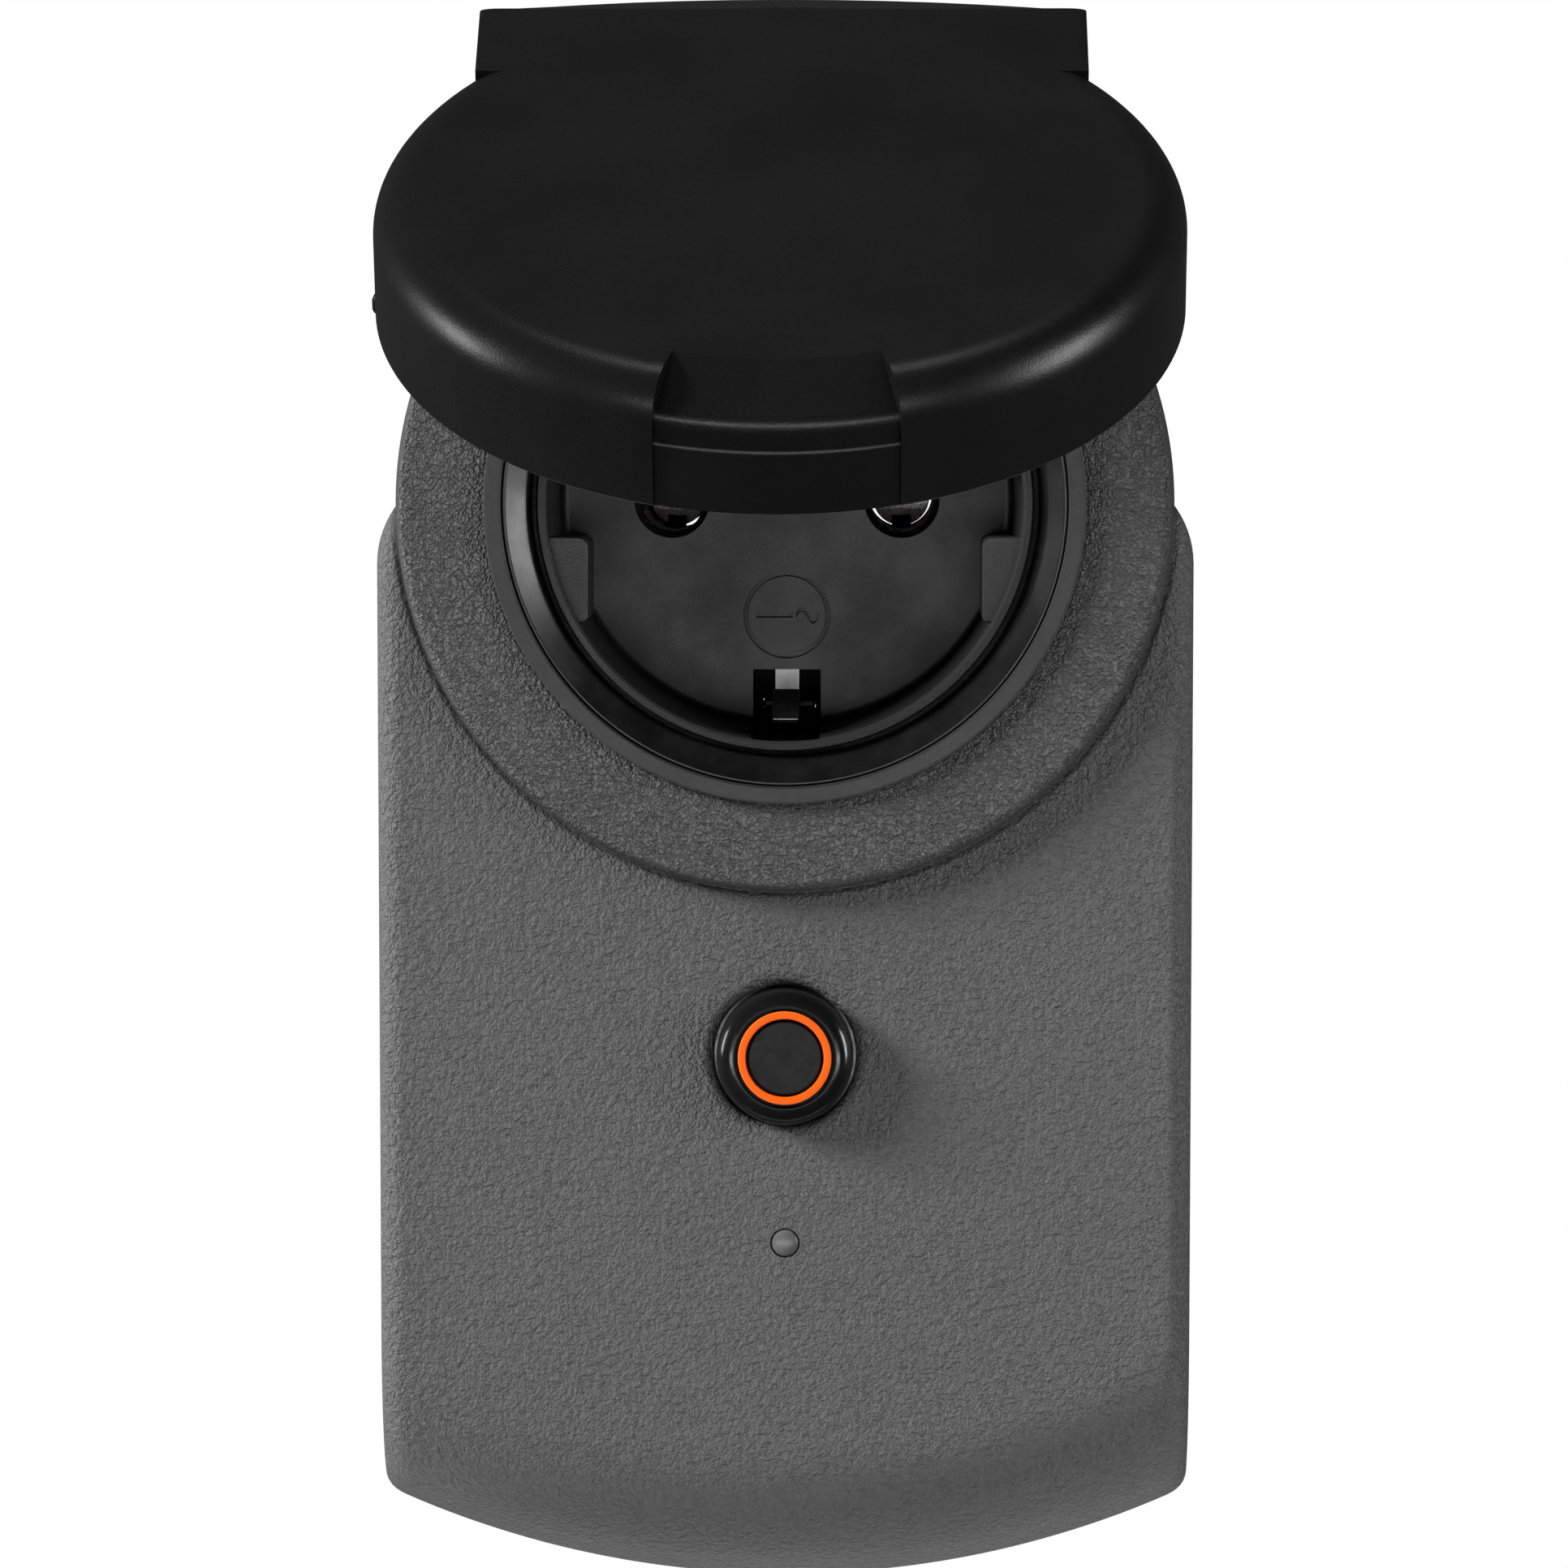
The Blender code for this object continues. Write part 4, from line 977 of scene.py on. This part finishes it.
def plugCuts(side):
    # what one side takes off: two guide ways, a strip's way and slot, and a pin's bore
    cuts = []
    lowX, highX = sorted((side * plug["guideX"], side * 22))
    for tilt in (-1, 1):
        lowUp, highUp = sorted(tilt * up for up in plug["guideUp"])
        way = [(lowX, lowUp), (highX, lowUp), (highX, highUp), (lowX, highUp)]
        cuts.append(plate("guideWay", soften(way, 0.8, 3, loop=True), -1, plug["guideEnd"]))
    low, high = sorted((side * (strip["inner"] - 0.3), side * 22))
    cuts.append(box("stripWay", (-2.7, low, -1), (2.7, high, 20.4)))
    low, high = sorted((side * (strip["inner"] - 0.02), side * (strip["outer"] + 0.02)))
    cuts.append(box("stripSlot", (-2.22, low, 20), (2.22, high, 24)))
    bore, mouth = plug["pinR"] + 0.35, plug["pinR"] + 0.8
    profile = [(0, 24), (bore, 24), (bore, 0.4), (mouth, -0.05), (mouth, -2), (0, -2)]
    return cuts + [turned("pinWay", profile, (side * plug["pinX"], 0), 48)]


def plugBody():
    low, high = plug["flange"]
    profile = [(0, high), (plug["flangeR"], high), (plug["flangeR"], low), (plug["radius"], low)]
    profile += soften([(plug["radius"], 2.0), (plug["radius"], 1.0), (17.2, 0), (15, 0)], 0.5, 4)
    body = turned("plugBody", [*profile, (0, 0)], steps=144)
    return carve(body, plugCuts(-1) + plugCuts(1))


def plugPin(side):
    radius, reach = plug["pinR"], plug["pinReach"]
    tip = arc((radius - 1.5, 1.5 - reach), 1.5, 0, -90, 10)
    profile = [(0, 22.6), (radius - 0.1, 22.6), (radius, 22.5), *tip, (0, -reach)]
    return turned("plugPin", profile, (side * plug["pinX"], 0), 64)


def earthStrip(side):
    low, high = sorted((side * strip["inner"], side * strip["outer"]))
    half = strip["halfWidth"]
    return box("earthStrip", (-half, low, strip["front"]), (half, high, strip["end"]), 0.2)


addPiece("plugBody", plugBody(), "housing", "socket_black", "plug_insert", 28)
addPiece("plugPinLine", plugPin(-1), "housing", "pin_nickel", "plug_pin_line")
addPiece("plugPinNeutral", plugPin(1), "housing", "pin_nickel", "plug_pin_neutral")
addPiece("earthStripUpper", earthStrip(1), "housing", "pin_nickel", "earth_strip_upper")
addPiece("earthStripLower", earthStrip(-1), "housing", "pin_nickel", "earth_strip_lower")
print("plug made")


# Studio: pale floor, soft lights and a white surround

studio = {
    "key": {"place": (-1.0, -0.34, 0.5), "size": (0.3, 0.3), "power": 35.0, "seen": "diffuse"},
    "fill": {"place": (0.9, -0.5, 0.2), "size": (0.4, 0.6), "power": 4.5, "seen": "diffuse"},
    "front": {"place": (0.0, -1.2, 0.7), "size": (0.6, 0.4), "power": 2.6, "seen": "diffuse"},
    "level": {"place": (0.0, -1.25, -0.16), "size": (1.5, 0.14), "power": 6.0, "seen": "glossy"},
    "left": {"place": (-1.0, -0.08, 0.15), "size": (0.2, 0.35), "power": 3.5, "seen": "glossy"},
    "right": {"place": (1.0, -0.3, 0.12), "size": (0.2, 0.45), "power": 5.0, "seen": "glossy"},
    "top": {"place": (0.0, -0.25, 1.1), "size": (0.6, 0.2), "power": 1.5, "seen": "both"},
    "under": {"place": (0.0, 0.15, -0.47), "size": (0.8, 0.5), "power": 1.1, "seen": "both"},
}
surround = {"ambient": 0.05, "aim": (0, -0.05, -0.02), "floorHalf": 0.9, "floorUp": -0.5}


def addLight(name, place, size, power, seen):
    lamp = bpy.data.lights.new(name, "AREA")
    lamp.shape = "RECTANGLE"
    lamp.size, lamp.size_y = size
    lamp.energy = power
    obj = bpy.data.objects.new(name, lamp)
    scene.collection.objects.link(obj)
    obj.location = place
    obj.visible_diffuse = seen != "glossy"
    obj.visible_glossy = seen != "diffuse"
    aim = Vector(surround["aim"]) - Vector(place)
    obj.rotation_euler = aim.to_track_quat("-Z", "Y").to_euler()


def addSurround():
    # the camera sees white, and the object sees a faint grey
    world = bpy.data.worlds.new("surround")
    scene.world = world
    world.use_nodes = True
    tree = world.node_tree
    shade = tree.nodes["Background"]
    shade.inputs["Color"].default_value = (*[surround["ambient"]] * 3, 1)
    white = tree.nodes.new("ShaderNodeBackground")
    white.inputs["Color"].default_value = (1, 1, 1, 1)
    rays, blend = tree.nodes.new("ShaderNodeLightPath"), tree.nodes.new("ShaderNodeMixShader")
    tree.links.new(rays.outputs["Is Camera Ray"], blend.inputs[0])
    tree.links.new(shade.outputs[0], blend.inputs[1])
    tree.links.new(white.outputs[0], blend.inputs[2])
    tree.links.new(blend.outputs[0], tree.nodes["World Output"].inputs["Surface"])


def addFloor():
    paint = Paint("paleFloor", 0.8)
    paint.into("Base Color", paint.mix(paint.noise(300.0, 2.0), (0.86, 0.86, 0.86), (0.9, 0.9, 0.9)))
    mesh = bpy.data.meshes.new("floor")
    shape = bmesh.new()
    bmesh.ops.create_grid(shape, x_segments=1, y_segments=1, size=surround["floorHalf"])
    shape.to_mesh(mesh)
    shape.free()
    mesh.materials.append(paint.material)
    floor = bpy.data.objects.new("floor", mesh)
    floor.location.z = surround["floorUp"]
    floor.visible_glossy = False
    scene.collection.objects.link(floor)


for name, light in studio.items():
    addLight(name, **light)
addSurround()
addFloor()
print("studio made")
